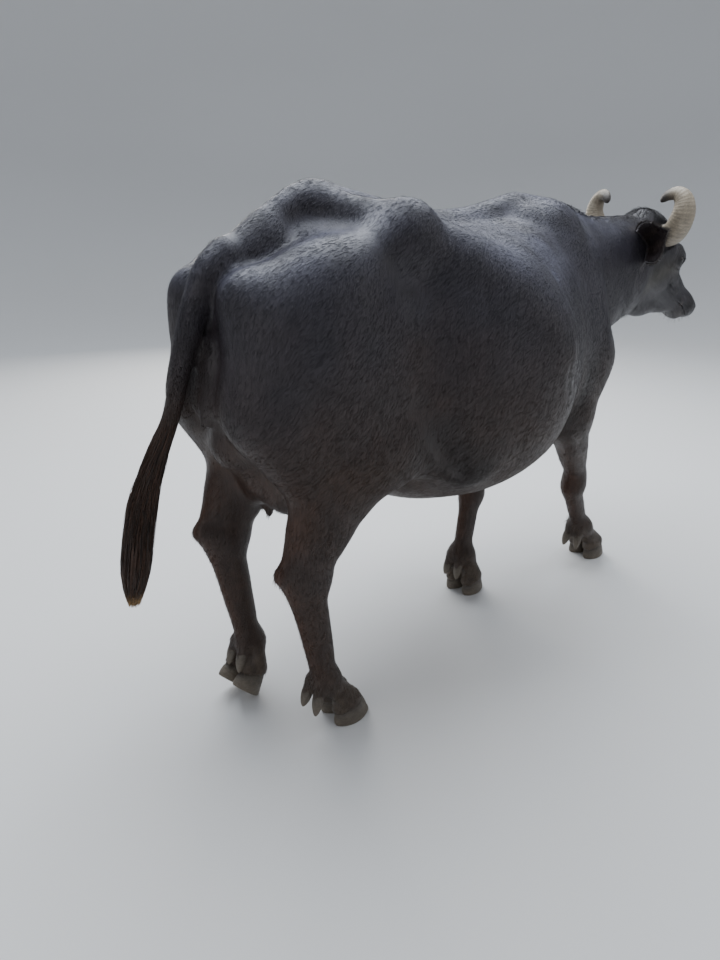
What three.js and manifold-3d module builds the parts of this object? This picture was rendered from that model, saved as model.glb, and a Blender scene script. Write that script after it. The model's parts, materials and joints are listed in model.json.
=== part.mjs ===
// A water buffalo cow, walking, life size, in millimetres. Z is up, the animal faces +X.
// The body is one smooth solid made of muscle and bone shapes; it is laid out from the
// sizes below, then parted with thin cuts into the parts a person would name.
import * as THREE from 'three';
import Module from 'manifold-3d';

// ---------- sizes ----------
const GAP = 0.3;             // clear space between neighbouring parts
const SHIFT = [-658.3, 0, 0];  // moves the laid-out animal over the middle of its own box
const CLAW_LENGTH = 118;     // heel to toe of one claw, on the floor
const CLAW_WIDTH = 64;
const EYE_RADIUS = 20;
const EYE_OUT = 97;          // from the middle of the head to the centre of an eye
const EAR_LENGTH = 240;
const EAR_WIDTH = 150;
const CUT_NECK = 1010;       // planes across the body that part it
const CUT_HIND = 30;
const CUT_FORE = 760;
const HIND_LEG_TOP = 600;    // height where each hind leg leaves the thigh
const FORE_LEG_TOP = 588;
const HOCK_CUT = 400;        // below the hock and the knee
const KNEE_CUT = 335;

// ---------- solids that blend: balls, limbs and a lofted barrel ----------
const OPS = [];
const { sin, cos, sqrt, abs, min, max, PI: pi } = Math;
const vsub = (a, b) => [a[0] - b[0], a[1] - b[1], a[2] - b[2]];
const vadd = (a, b) => [a[0] + b[0], a[1] + b[1], a[2] + b[2]];
const vmul = (a, s) => [a[0] * s, a[1] * s, a[2] * s];
const dot = (a, b) => a[0] * b[0] + a[1] * b[1] + a[2] * b[2];
const cross = (a, b) => [a[1] * b[2] - a[2] * b[1], a[2] * b[0] - a[0] * b[2], a[0] * b[1] - a[1] * b[0]];
const norm = (a) => vmul(a, 1 / sqrt(dot(a, a)));
const mix3 = (a, b, t) => [a[0] + (b[0] - a[0]) * t, a[1] + (b[1] - a[1]) * t, a[2] + (b[2] - a[2]) * t];
// axes (forward, left, up) turned by degrees; pitch > 0 tips the nose down
function turn(yaw, pitch, roll) {
    const y = yaw * pi / 180, p = pitch * pi / 180, r = roll * pi / 180;
    const f = [cos(y) * cos(p), sin(y) * cos(p), -sin(p)];
    const l = [-sin(y), cos(y), 0];
    const u = cross(f, l);
    return [f, vadd(vmul(l, cos(r)), vmul(u, sin(r))), vsub(vmul(u, cos(r)), vmul(l, sin(r)))];
}
const frame = (o, axes) => [o, axes];
const WORLD = frame([0, 0, 0], turn(0, 0, 0));
function at(F, p) {
    const [o, A] = F;
    return [0, 1, 2].map((i) => o[i] + A[0][i] * p[0] + A[1][i] * p[1] + A[2][i] * p[2]);
}
function ways(F, yaw, pitch, roll) {
    return turn(yaw, pitch, roll).map((v) => vsub(at(F, v), F[0]));
}
let GROUP = 'body';
function group(name) { GROUP = name; }
function keep(op, lo, hi) {
    op.g = GROUP;
    op.lo = lo.map((v) => v - op.k - 8);
    op.hi = hi.map((v) => v + op.k + 8);
    OPS.push(op);
}
function ball(n, c0, r, k, F = WORLD, axes = null, cut = 0) {
    const c = at(F, c0), A = axes ?? F[1];
    const e = [0, 1, 2].map((i) => sqrt((A[0][i] * r[0]) ** 2 + (A[1][i] * r[1]) ** 2 + (A[2][i] * r[2]) ** 2));
    keep({ t: 'E', n, c, r, A, k, cut }, vsub(c, e), vadd(c, e));
}
function limb(n, a0, b0, ra, rb, k, flat = 1, side = null, bulge = 0, F = WORLD, cut = 0) {
    const a = at(F, a0), b = at(F, b0), ab = norm(vsub(b, a));
    let s = side ?? F[1][1];
    s = norm(vsub(s, vmul(ab, dot(s, ab))));
    const m = (max(ra, rb) + max(bulge, 0)) * max(flat, 1);
    keep({ t: 'C', n, a, b, ra, rb, flat, s, bulge, k, cut },
        [0, 1, 2].map((i) => min(a[i], b[i]) - m), [0, 1, 2].map((i) => max(a[i], b[i]) + m));
}
// stations: [x, top, bottom, half width, height of the widest point, roundness above, below]
function loft(n, st, k) {
    const w = max(...st.map((q) => q[3])) * 1.08;
    keep({ t: 'L', n, st, k, cut: 0, m: st.map((q, i) => slope(st, i)) },
        [st[0][0], -w, min(...st.map((q) => q[2])) - 30], [st[st.length - 1][0], w, max(...st.map((q) => q[1])) + 30]);
}
// slope of every column of a station list at row i, for uneven spacing
function slope(st, i) {
    const last = st.length - 1;
    if (i === 0) return st[0].map((v, j) => (st[1][j] - v) / (st[1][0] - st[0][0]));
    if (i === last) return st[last].map((v, j) => (v - st[last - 1][j]) / (st[last][0] - st[last - 1][0]));
    const a = st[i][0] - st[i - 1][0], b = st[i + 1][0] - st[i][0];
    return st[i].map((v, j) => (a * a * st[i + 1][j] + (b * b - a * a) * v - b * b * st[i - 1][j]) / (a * b * (a + b)));
}
function spline(pts, t) {
    const n = pts.length, i = max(0, min(n - 2, Math.floor(t))), f = t - i;
    const p0 = pts[max(i - 1, 0)], p1 = pts[i], p2 = pts[i + 1], p3 = pts[min(i + 2, n - 1)];
    return p1.map((b, j) => {
        const a = p0[j], c = p2[j], d = p3[j];
        return 0.5 * (2 * b + (c - a) * f + (2 * a - 5 * b + 4 * c - d) * f * f + (3 * b - a - 3 * c + d) * f * f * f);
    });
}
const sided = (pts, s) => pts.map((p) => [p[0], s * p[1], ...p.slice(2)]);
function cord(n, pts, count, k, flat = 1, side = null, F = WORLD, cut = 0) {
    const segs = [], lo = [1e9, 1e9, 1e9], hi = [-1e9, -1e9, -1e9];
    let last = spline(pts, 0);
    for (let i = 1; i <= count; i++) {
        const q = spline(pts, (pts.length - 1) * i / count);
        const a = at(F, last.slice(0, 3)), b = at(F, q.slice(0, 3)), ab = norm(vsub(b, a));
        let s = side ?? F[1][1];
        s = norm(vsub(s, vmul(ab, dot(s, ab))));
        segs.push({ t: 'C', a, b, ra: last[3], rb: q[3], flat, s, bulge: 0 });
        const m = max(last[3], q[3]) * max(flat, 1);
        for (let j = 0; j < 3; j++) {
            lo[j] = min(lo[j], a[j] - m, b[j] - m);
            hi[j] = max(hi[j], a[j] + m, b[j] + m);
        }
        last = q;
    }
    keep({ t: 'R', n, segs, a: segs[0].a, b: segs[count - 1].b, k, cut }, lo, hi);
}
function distance(o, p) {
    if (o.t === 'R') return min(...o.segs.map((s) => distance(s, p)));
    if (o.t === 'E') {
        const d = vsub(p, o.c), u = dot(d, o.A[0]) / o.r[0], v = dot(d, o.A[1]) / o.r[1], w = dot(d, o.A[2]) / o.r[2];
        const k0 = sqrt(u * u + v * v + w * w);
        const k1 = sqrt((u / o.r[0]) ** 2 + (v / o.r[1]) ** 2 + (w / o.r[2]) ** 2) + 1e-9;
        return k0 * (k0 - 1) / k1;
    }
    if (o.t === 'C') {
        const ab = vsub(o.b, o.a), q = max(0, min(1, dot(vsub(p, o.a), ab) / dot(ab, ab)));
        const d = vsub(vsub(p, o.a), vmul(ab, q));
        const r = o.ra + (o.rb - o.ra) * q + o.bulge * 4 * q * (1 - q);
        if (o.flat === 1) return sqrt(dot(d, d)) - r;
        const ds = dot(d, o.s), d2 = dot(d, d) - ds * ds;
        const n = sqrt(d2 + (ds / o.flat) ** 2) + 1e-9, g = sqrt(d2 + (ds / o.flat / o.flat) ** 2) + 1e-9;
        return (n - r) * n / g;
    }
    const st = o.st, n = st.length;
    const x = max(st[0][0], min(st[n - 1][0], p[0]));
    let i = 0;
    while (i < n - 2 && st[i + 1][0] < x) i++;
    const h = st[i + 1][0] - st[i][0], t = (x - st[i][0]) / h;
    const h00 = 2 * t ** 3 - 3 * t * t + 1, h10 = t ** 3 - 2 * t * t + t, h01 = -2 * t ** 3 + 3 * t * t, h11 = t ** 3 - t * t;
    const f = (j) => h00 * st[i][j] + h10 * h * o.m[i][j] + h01 * st[i + 1][j] + h11 * h * o.m[i + 1][j];
    const zc = f(4), up = p[2] > zc, e = up ? f(5) : f(6), hz = up ? f(1) - zc : zc - f(2), w = f(3);
    const a = max(abs(p[1]) / w, 1e-4), b = max(abs(p[2] - zc) / hz, 1e-4);
    const s = (a ** e + b ** e) ** (1 / e);
    const ga = (a / s) ** (e - 1) / w, gb = (b / s) ** (e - 1) / hz;
    const d = min((s - 1) / sqrt(ga * ga + gb * gb), 400), ex = max(st[0][0] - p[0], p[0] - st[n - 1][0]);
    if (ex > 0) return sqrt(max(d, 0) ** 2 + ex * ex);
    return ex > -60 ? max(d, ex) : d;
}
function blend(a, b, k0, cut) {
    const k = max(k0, 1e-3);
    if (cut) {
        const h = max(k - abs(a + b), 0) / k;
        return max(a, -b) + h * h * k * 0.25;
    }
    const h = max(k - abs(a - b), 0) / k;
    return min(a, b) - h * h * k * 0.25;
}
function depth(p, ops) {
    let f = 1e3;
    for (const o of ops) {
        if (p[0] < o.lo[0] || p[0] > o.hi[0] || p[1] < o.lo[1] || p[1] > o.hi[1] || p[2] < o.lo[2] || p[2] > o.hi[2]) continue;
        f = blend(f, distance(o, p), o.k, o.cut);
    }
    return f;
}

// ---------- the animal ----------
// ---------- trunk: top, bottom, half width, widest level, roundness above and below, along the spine ----------
group('body');
loft('barrel', [
 [-330,1200, 900,115,1090,2.0,2.0],
 [-240,1265, 810,175,1080,2.1,2.0],
 [-120,1332, 725,225,1060,2.2,2.0],
 [   0,1350, 655,275,1010,2.5,2.1],
 [ 120,1338, 575,338, 960,2.8,2.2],
 [ 250,1320, 540,386, 925,2.8,2.2],
 [ 380,1312, 532,410, 905,2.7,2.2],
 [ 480,1316, 545,400, 900,2.4,2.2],
 [ 580,1328, 564,362, 905,2.1,2.2],
 [ 680,1344, 584,312, 920,1.9,2.1],
 [ 780,1350, 592,268, 940,1.75,2.1],
 [ 880,1336, 615,235, 950,1.75,2.1],
 [ 980,1308, 648,202, 960,1.8,2.1],
 [1070,1275, 700,158, 985,2.0,2.0]], 1);
// ridge from the hip forward to the last rib
for (const s of [-1,1]) {
    cord('flank_ridge',[[30,s*206,1280,56],[150,s*250,1234,58],[300,s*300,1136,60],[420,s*330,1010,58]],8,100);
}
ball('chest',[950,0,850],[170,185,240],80);
// spine ridge
cord('spine',[[-310,0,1240,36],[-200,0,1326,38],[-105,0,1372,39],[0,0,1362,39],[150,0,1338,37],[320,0,1314,37],[480,0,1322,37],[620,0,1346,38],[720,0,1362,40],[850,0,1334,44],[980,0,1304,48]],24,60);
for (const s of [-1,1]) {
    // hook bone, with its ridges to the sacrum and back to the pin bone
    limb('hook_bar',[-70,s*40,1352],[15,s*205,1318],36,36,60);
    ball('hook',[22,s*222,1318],[52,30,36],40,WORLD,turn(s*20,12,0));
    limb('hook_ridge',[0,s*222,1285],[-200,s*178,1205],48,58,80);
    limb('thurl',[-160,s*172,1190],[-340,s*108,1155],80,48,60);
    ball('pin',[-362,s*100,1178],[32,30,34],45);
    limb('shoulder_crest',[690,s*58,1315],[840,s*48,1308],40,48,50);
}
limb('tail_root',[-230,0,1275],[-325,0,1240],50,36,45);
limb('perineum',[-325,0,1160],[-320,0,830],62,80,50);
// udder, with four teats, and the vulva under the tail
limb('udder',[-230,0,745],[-60,0,690],95,88,60,0.95);
for (const s of [-1,1]) {
    ball('quarter_rear',[-205,s*50,700],[85,62,85],40);
    ball('quarter_fore',[-75,s*50,680],[85,58,72],40);
    limb('teat_rear',[-205,s*52,640],[-210,s*56,585],17,12,14);
    limb('teat_fore',[-85,s*55,625],[-85,s*60,575],17,12,14);
    limb('vulva',[-382,s*12,1060],[-396,s*15,930],28,30,16);
}
limb('vulva_tip',[-393,0,930],[-408,0,892],30,18,16);

// ---------- limbs ----------
function hind_leg(s,hip,stifle,hock,fet,F) {
    const heel = [hock[0]-68,hock[1],hock[2]+36];
    const knee = [hock[0]+52,hock[1]+s*6,hock[2]+118];
    limb('thigh',hip,[stifle[0]-70,stifle[1]-s*15,stifle[2]+60],190,130,90,0.55);
    limb('rump_mass',[-205,s*165,1075],[-205,s*165,900],172,160,80,0.55);
    limb('ham',[-322,s*105,1140],[-322,s*122,930],78,98,60,0.8);
    limb('ham_low',[-322,s*122,930],[hock[0]+32,hock[1]*0.97,hock[2]+230],98,60,60,0.75);
    ball('stifle',[stifle[0],stifle[1]-s*10,stifle[2]],[80,58,95],60);
    limb('flank_fold',[stifle[0]+10,stifle[1]-s*20,stifle[2]+20],[190,s*285,735],50,55,90,0.45);
    limb('gaskin',[stifle[0]-85,stifle[1]-s*25,stifle[2]-45],knee,100,74,60,0.66);
    limb('gaskin_low',knee,[hock[0]+26,hock[1],hock[2]+30],74,58,40,0.7);
    limb('achilles',[hock[0]+28,hock[1]*0.98,hock[2]+200],[heel[0]+8,heel[1],heel[2]],44,25,50,0.75);
    ball('hock',[hock[0]+12,hock[1],hock[2]],[64,43,68],30);
    limb('heel',[hock[0]-10,hock[1],hock[2]+4],heel,36,24,25,0.85);
    limb('cannon',[hock[0]+16,hock[1],hock[2]-20],[fet[0]+4,fet[1],fet[2]],42,34,30,0.88);
    limb('tendon',[heel[0]+26,heel[1],heel[2]-40],[fet[0]-20,fet[1],fet[2]+16],22,18,30,0.85);
    ball('fetlock',fet,[48,46,46],25);
    foot(fet,F,31);
}
function foot(fet,F,w) {
    // F stands on the floor under the foot: x to the toes, z up from the sole
    for (const c of [-1,1]) {
        limb('pastern',[fet[0]+6,fet[1]+c*16,fet[2]-12],at(F,[-6,c*w,70]),32,37,22);
        limb('dew_root',[fet[0]-32,fet[1]+c*20,fet[2]-2],[fet[0]-44,fet[1]+c*23,fet[2]-34],20,18,18);
        limb('bulb',at(F,[-34,c*w,52]),at(F,[-20,c*w,64]),28,31,20);
    }
}
function fore_leg(s,shoulder,elbow,knee,fet,F) {
    limb('upper_arm',shoulder,elbow,88,84,80,0.66);
    limb('triceps',[elbow[0]-30,elbow[1]-s*8,elbow[2]+260],[elbow[0]-15,elbow[1],elbow[2]+30],125,66,80,0.5);
    ball('elbow',[elbow[0]-50,elbow[1],elbow[2]+18],[34,28,38],30);
    limb('forearm',[elbow[0],elbow[1],elbow[2]-10],[knee[0],knee[1],knee[2]+50],84,47,50,0.8,null,4);
    ball('knee',knee,[52,47,62],30);
    limb('cannon',[knee[0]-1,knee[1],knee[2]-20],[fet[0]+4,fet[1],fet[2]],37,32,30,0.92);
    limb('tendon',[knee[0]-34,knee[1],knee[2]-20],[fet[0]-22,fet[1],fet[2]+16],21,18,30,0.85);
    ball('fetlock',fet,[50,55,50],25);
    foot(fet,F,34);
}
// where each foot stands, and the way its toes point
const SOLE_RH = frame([-122,-142,0],turn(-6,0,0));
const SOLE_LH = frame([-310,120,39.5],turn(4,45,0));
const SOLE_RF = frame([1296,-76,0],turn(-8,0,0));
const SOLE_LF = frame([688,82,0],turn(4,0,0));
hind_leg(-1,[-140,-168,1050],[-15,-225,800],[-262,-163,490],[-196,-148,154],SOLE_RH);
hind_leg( 1,[-140, 168,1050],[-40, 225,805],[-312, 126,520],[-260, 122,178],SOLE_LH);
for (const s of [-1,1]) {
    limb('blade',[800,s*100,1265],[960,s*150,900],80,92,90,0.6);
    ball('shoulder_point',[985,s*160,885],[62,50,80],60);
}
fore_leg(-1,[965,-160,880],[870,-172,705],[1074,-106,388],[1192,-87,160],SOLE_RF);
fore_leg( 1,[950, 160,880],[800, 168,725],[714, 96,388],[664,88,150],SOLE_LF);

// ---------- neck ----------
limb('neck_base',[880,0,1080],[1100,0,1095],268,222,90,0.62);
limb('neck_mid',[1100,0,1095],[1300,-5,1135],222,182,80,0.60);
limb('neck_top',[1300,-5,1135],[1455,-13,1165],182,160,60,0.62);
limb('brisket',[1020,0,800],[985,0,690],100,75,80);
limb('dewlap',[1330,-5,1060],[1560,-22,1030],88,70,50,0.5);
limb('throat_skin',[1560,-22,1030],[1700,-48,1000],70,46,45,0.55);

// ---------- head, in its own frame: x from the poll to the nose, y left, z out of the forehead ----------
const HEAD = frame([1532,-17,1345],turn(-9.9,41.5,0));
ball('cranium',[95,0,-80],[118,94,84],50,HEAD);
ball('poll',[25,0,-44],[70,82,58],40,HEAD);
ball('forehead',[135,0,-50],[135,90,52],50,HEAD);
limb('bridge',[190,0,-62],[450,0,-62],58,42,40,0.9,null,0,HEAD);
limb('maxilla',[190,0,-110],[430,0,-88],78,48,40,0.86,null,0,HEAD);
ball('muzzle',[462,0,-72],[56,66,50],35,HEAD);
ball('nosepad',[500,0,-62],[26,54,36],20,HEAD);
ball('chin',[436,0,-114],[54,40,26],25,HEAD);
for (const s of [-1,1]) {
    limb('jaw',[130,s*48,-180],[430,s*18,-100],42,24,40,1,null,0,HEAD);
    ball('masseter',[140,s*70,-130],[90,28,78],40,HEAD);
    limb('cheekbone',[110,s*90,-70],[260,s*72,-88],24,16,30,1,null,0,HEAD);
    ball('brow',[190,s*82,-42],[46,26,34],25,HEAD);
}
limb('throat',[150,0,-170],[10,0,-190],80,120,60,0.7,null,0,HEAD);

// ---------- tail ----------
group('tail');
const TAIL = [[-335,0,1256,37],[-385,-4,1215,35],[-425,8,1110,32],[-448,30,1010,25],[-463,60,907,22],[-496,120,767,28],[-520,165,640,38],[-535,195,500,40],[-546,212,400,24],[-548,216,360,8]];
cord('tail',TAIL,24,14);
group('body');
// ---------- ears, laid back along the neck: x to the tip, z out of the hollow; only their fleshy roots are here ----------
const EARS = [frame(at(HEAD,[-38,-101,-207]),turn(-129.9,-17.3,-249.5)),frame(at(HEAD,[-29.6,91,-200.1]),turn(110.1,-17.3,-110.5))];
for (const s of [-1,1]) {
    limb('ear_root',at(HEAD,[42,s*92,-128]),at(EARS[max(0,s)],[-4,0,-14]),44,23,30);
}
// ---------- horns ----------
group('horn');
const HORNF = frame([1532,-17,1345],turn(-9.9,10,0));
const HORN = [[20,70,-74,43],[-4,115,-86,43],[-32,165,-70,42],[-54,195,-20,39],[-62,190,26,32],[-72,165,48,25],[-82,136,40,18],[-88,116,18,10]];
for (const s of [-1,1]) {
    cord('horn',sided(HORN,s),20,4,1,null,HORNF);

}

// ---------- skinning: rays from a line inside the shape out to its surface ----------
const M = await Module();
M.setup();
const { Manifold, Mesh } = M;
const pick = (g, drop = []) => OPS.filter((o) => o.g === g && !drop.includes(o.n));
// how far along a ray the surface lies, at most reach
function reachTo(c, d, ops, reach) {
    let t = 0, step = 7;
    if (depth(c, ops) > 0) return 0.5;
    while (t < reach) {
        const u = min(t + step, reach);
        if (depth(vadd(c, vmul(d, u)), ops) > 0) {
            let lo = t, hi = u;
            for (let i = 0; i < 14; i++) {
                const m = (lo + hi) / 2;
                if (depth(vadd(c, vmul(d, m)), ops) > 0) hi = m; else lo = m;
            }
            return (lo + hi) / 2;
        }
        t = u;
    }
    return reach;
}
// rings: [centre, axis, lean towards the axis in degrees, reach]; closed with a point at both ends
function husk(rings, count, ops, up = [0, 0, 1], grow = 0) {
    const v = [], f = [];
    const pole = (r, s) => {
        const d = vmul(norm(r[1]), s);
        v.push(vadd(r[0], vmul(d, abs(r[2]) > 1 ? reachTo(r[0], d, ops, r[3]) : 0)));
    };
    pole(rings[0], -1);
    for (const [c, ax, lean, reach] of rings) {
        const n = norm(ax), a = norm(cross(up, n)), b = cross(n, a), l = lean * pi / 180;
        for (let j = 0; j < count; j++) {
            const q = 2 * pi * j / count;
            const d = vadd(vmul(vadd(vmul(a, cos(q)), vmul(b, sin(q))), cos(l)), vmul(n, sin(l)));
            v.push(vadd(c, vmul(d, reachTo(c, d, ops, reach) + grow)));
        }
    }
    pole(rings[rings.length - 1], 1);
    const at0 = (i, j) => 1 + i * count + (j % count), end = v.length - 1;
    for (let j = 0; j < count; j++) {
        f.push([0, at0(0, j + 1), at0(0, j)]);
        for (let i = 0; i < rings.length - 1; i++) {
            f.push([at0(i, j), at0(i, j + 1), at0(i + 1, j + 1)], [at0(i, j), at0(i + 1, j + 1), at0(i + 1, j)]);
        }
        f.push([end, at0(rings.length - 1, j), at0(rings.length - 1, j + 1)]);
    }
    return solid(v, f);
}
function solid(v, f) {
    const mesh = new Mesh({ numProp: 3, vertProperties: new Float32Array(v.flat()), triVerts: new Uint32Array(f.flat()) });
    mesh.merge();
    const m = new Manifold(mesh);
    return m.volume() < 0 ? solid(v, f.map((t) => [t[0], t[2], t[1]])) : m;
}
// closed loops of equal count, joined one to the next and capped flat
function stack(loops) {
    const n = loops[0].length, v = loops.flat(), f = [];
    const mid = (l) => vmul(l.reduce(vadd), 1 / n);
    v.push(mid(loops[0]), mid(loops[loops.length - 1]));
    const a = v.length - 2, b = v.length - 1, top = (loops.length - 1) * n;
    for (let j = 0; j < n; j++) {
        const k = (j + 1) % n;
        f.push([a, k, j], [b, top + j, top + k]);
        for (let i = 0; i < loops.length - 1; i++) {
            const p = i * n;
            f.push([p + j, p + k, p + n + k], [p + j, p + n + k, p + n + j]);
        }
    }
    return solid(v, f);
}
function along(pts, n, lean, reach) {
    const out = [];
    for (let i = 0; i <= n; i++) {
        const t = (pts.length - 1) * i / n, p = spline(pts, t);
        const q = vsub(spline(pts, min(t + 0.02, pts.length - 1)), spline(pts, max(t - 0.02, 0)));
        out.push([p.slice(0, 3), q.slice(0, 3), lean, p[3] ?? reach]);
    }
    return out;
}
const biggest = (m) => m.decompose().sort((a, b) => b.volume() - a.volume())[0];
const above = (m, z) => m.trimByPlane([0, 0, 1], z);
const below = (m, z) => m.trimByPlane([0, 0, -1], -z);
const past = (m, n, p) => m.trimByPlane(n, dot(n, p));
function box(lo, hi) {
    const g = new THREE.BoxGeometry(hi[0] - lo[0], hi[1] - lo[1], hi[2] - lo[2]);
    g.translate((lo[0] + hi[0]) / 2, (lo[1] + hi[1]) / 2, (lo[2] + hi[2]) / 2);
    const p = g.attributes.position, v = [], f = [];
    for (let i = 0; i < p.count; i++) v.push([p.getX(i), p.getY(i), p.getZ(i)]);
    for (let i = 0; i < g.index.count; i += 3) f.push([g.index.getX(i), g.index.getX(i + 1), g.index.getX(i + 2)]);
    return solid(v, f);
}

// ---------- the whole body ----------
const LEGS = ['gaskin_low', 'hock', 'heel', 'cannon', 'tendon', 'fetlock', 'pastern', 'bulb', 'knee', 'forearm'];
const HEADS = ['cranium', 'poll', 'forehead', 'bridge', 'maxilla', 'muzzle', 'nosepad', 'chin', 'jaw', 'masseter', 'cheekbone', 'brow', 'throat', 'ear_root', 'throat_skin', 'dewlap'];
const trunkOps = pick('body', [...LEGS, ...HEADS, 'achilles', 'neck_top', 'teat_rear', 'teat_fore']);
const headOps = pick('body', LEGS);
const trunkRings = [];
for (const lean of [70, 52, 36, 18]) trunkRings.push([[-170, 0, 985], [1, 0, 0], -lean, 700]);
for (const x of [-170, -112, -62, -18, 22, 62, 110, 180, 270, 360, 450, 540, 630, 720, 800, 880, 960, 1040, 1100]) {
    trunkRings.push([[x, 0, 985 - max(0, min(1, x / 400)) * 35 + max(0, (x - 700) / 380) * 80], [1, 0, 0], 0, 700]);
}
const trunkHusk = husk(trunkRings, 27, trunkOps);
// neck and head: from inside the chest along the neck, over the poll to the nose
const headRings = [];
for (const [x, z, t, reach] of [[1030, 1095, 0, 120], [1072, 1096, 2, 420], [1150, 1106, 4, 420], [1230, 1118, 6, 420], [1310, 1134, 12, 420], [1380, 1148, 16, 420]]) {
    headRings.push([[x, -max(0, (x - 1100)) * 0.035, z], turn(-2, t, 0)[0], 0, reach]);
}
for (const [x, z, lean] of [[-50, -185, -36], [-15, -160, -22], [30, -132, -8], [75, -115, 0], [120, -106, 0], [160, -102, 0], [205, -98, 0], [250, -95, 0], [300, -92, 0], [355, -86, 0], [405, -80, 0], [445, -78, 0], [450, -78, 28], [450, -78, 52], [450, -78, 74]]) {
    headRings.push([at(HEAD, [x, 0, z]), HEAD[1][0], lean, 330]);
}
const headHusk = husk(headRings, 21, headOps);
function legHusk(pts, n, count) {
    return husk(along(pts, n, 0, 160), count, pick('body', ['dewlap']), [0, 1, 0]);
}
// inside lines of the legs: x, y, z, reach
const soleAt = (F, x, z) => at(F, [x, 0, z]);
const LINES = {
    hind_R: [[-165, -165, 830, 70], [-180, -165, 740, 95], [-206, -166, 655, 120], [-214, -166, 600, 130], [-248, -163, 540, 130], [-262, -163, 487, 130], [-252, -160, 430, 110], [-236, -157, 360, 110], [-217, -153, 260, 110], [-204, -150, 195, 110], [-190, -147, 150, 110], [...soleAt(SOLE_RH, -46, 105), 110], [...soleAt(SOLE_RH, -14, 58), 110]],
    hind_L: [[-190, 160, 830, 70], [-220, 155, 750, 95], [-256, 145, 670, 120], [-264, 135, 630, 130], [-298, 128, 570, 130], [-312, 126, 517, 130], [-304, 125, 460, 110], [-292, 124, 390, 110], [-277, 123, 290, 110], [-268, 122, 222, 110], [-258, 121, 176, 110], [-252, 120, 135, 110], [-262, 120, 92, 110]],
    fore_R: [[905, -165, 800, 60], [885, -166, 740, 85], [893, -164, 680, 110], [930, -152, 610, 120], [985, -135, 530, 120], [1040, -117, 450, 120], [1074, -106, 388, 120], [1098, -102, 335, 100], [1130, -97, 275, 100], [1165, -91, 205, 100], [1192, -87, 160, 110], [...soleAt(SOLE_RF, -46, 108), 110], [...soleAt(SOLE_RF, -14, 58), 110]],
    fore_L: [[840, 165, 800, 60], [805, 165, 740, 85], [795, 162, 680, 110], [775, 148, 590, 120], [745, 124, 500, 120], [722, 104, 430, 120], [714, 96, 388, 120], [703, 94, 335, 100], [690, 92, 270, 100], [674, 89, 200, 100], [664, 88, 152, 110], [...soleAt(SOLE_LF, -36, 105), 110], [...soleAt(SOLE_LF, -14, 58), 110]],
};
let whole = trunkHusk.add(headHusk);
for (const k of Object.keys(LINES)) whole = whole.add(legHusk(LINES[k], 15, 12));
for (const s of [-1, 1]) {
    for (const [x, y, z] of [[-207, 54, 612], [-85, 58, 600]]) {
        whole = whole.add(husk(along([[x, s * (y - 4), z + 60], [x, s * y, z + 20], [x, s * y, z - 22]], 3, 0, 30), 8, OPS.filter((o) => o.n.startsWith('teat')), [0, 1, 0]));
    }
}

// ---------- claws: loops up from the sole; x to the toe, y left, z up from the sole ----------
const CORONET = 0.36; // rise of the coronet line towards the toe
function clawLoops(F, c, w) {
    const L = CLAW_LENGTH, W = CLAW_WIDTH / 2;
    // height, heel, toe, half width
    const rows = [[0, -0.45 * L, 0.53 * L, 0.93 * W], [10, -0.47 * L, 0.525 * L, W], [34, -0.45 * L, 0.41 * L, W], [57, -0.40 * L, 0.28 * L, 0.93 * W]];
    return rows.map(([z, back, front, half], i) => {
        const loop = [];
        for (let j = 0; j < 10; j++) {
            const q = 2 * pi * j / 10, u = cos(q), s = sin(q);
            const x = u > 0 ? u * front : -u * back;
            const narrow = u > 0 ? 1 - 0.3 * u * u : 1 - 0.12 * u * u;
            loop.push(at(F, [x, c * w + half * s * narrow - c * 3 * u, z + (i === 3 ? CORONET * x : 0)]));
        }
        return loop;
    });
}
const DEW_WAY = (c) => [-0.30, c * 0.10, -0.95];
function dewclaw(F, fet, c) {
    const o = vadd(fet, [-45, c * 23, -34]);
    const ax = norm(DEW_WAY(c));
    const a = norm(cross([1, 0, 0], ax)), b = cross(ax, a);
    const loops = [[-8, 17], [20, 15], [44, 6]].map(([t, r]) => [...Array(8).keys()].map((j) => {
        const q = 2 * pi * j / 8;
        return vadd(vadd(o, vmul(ax, t)), vadd(vmul(a, r * cos(q)), vmul(b, r * 0.8 * sin(q))));
    }));
    return stack(loops);
}
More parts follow.
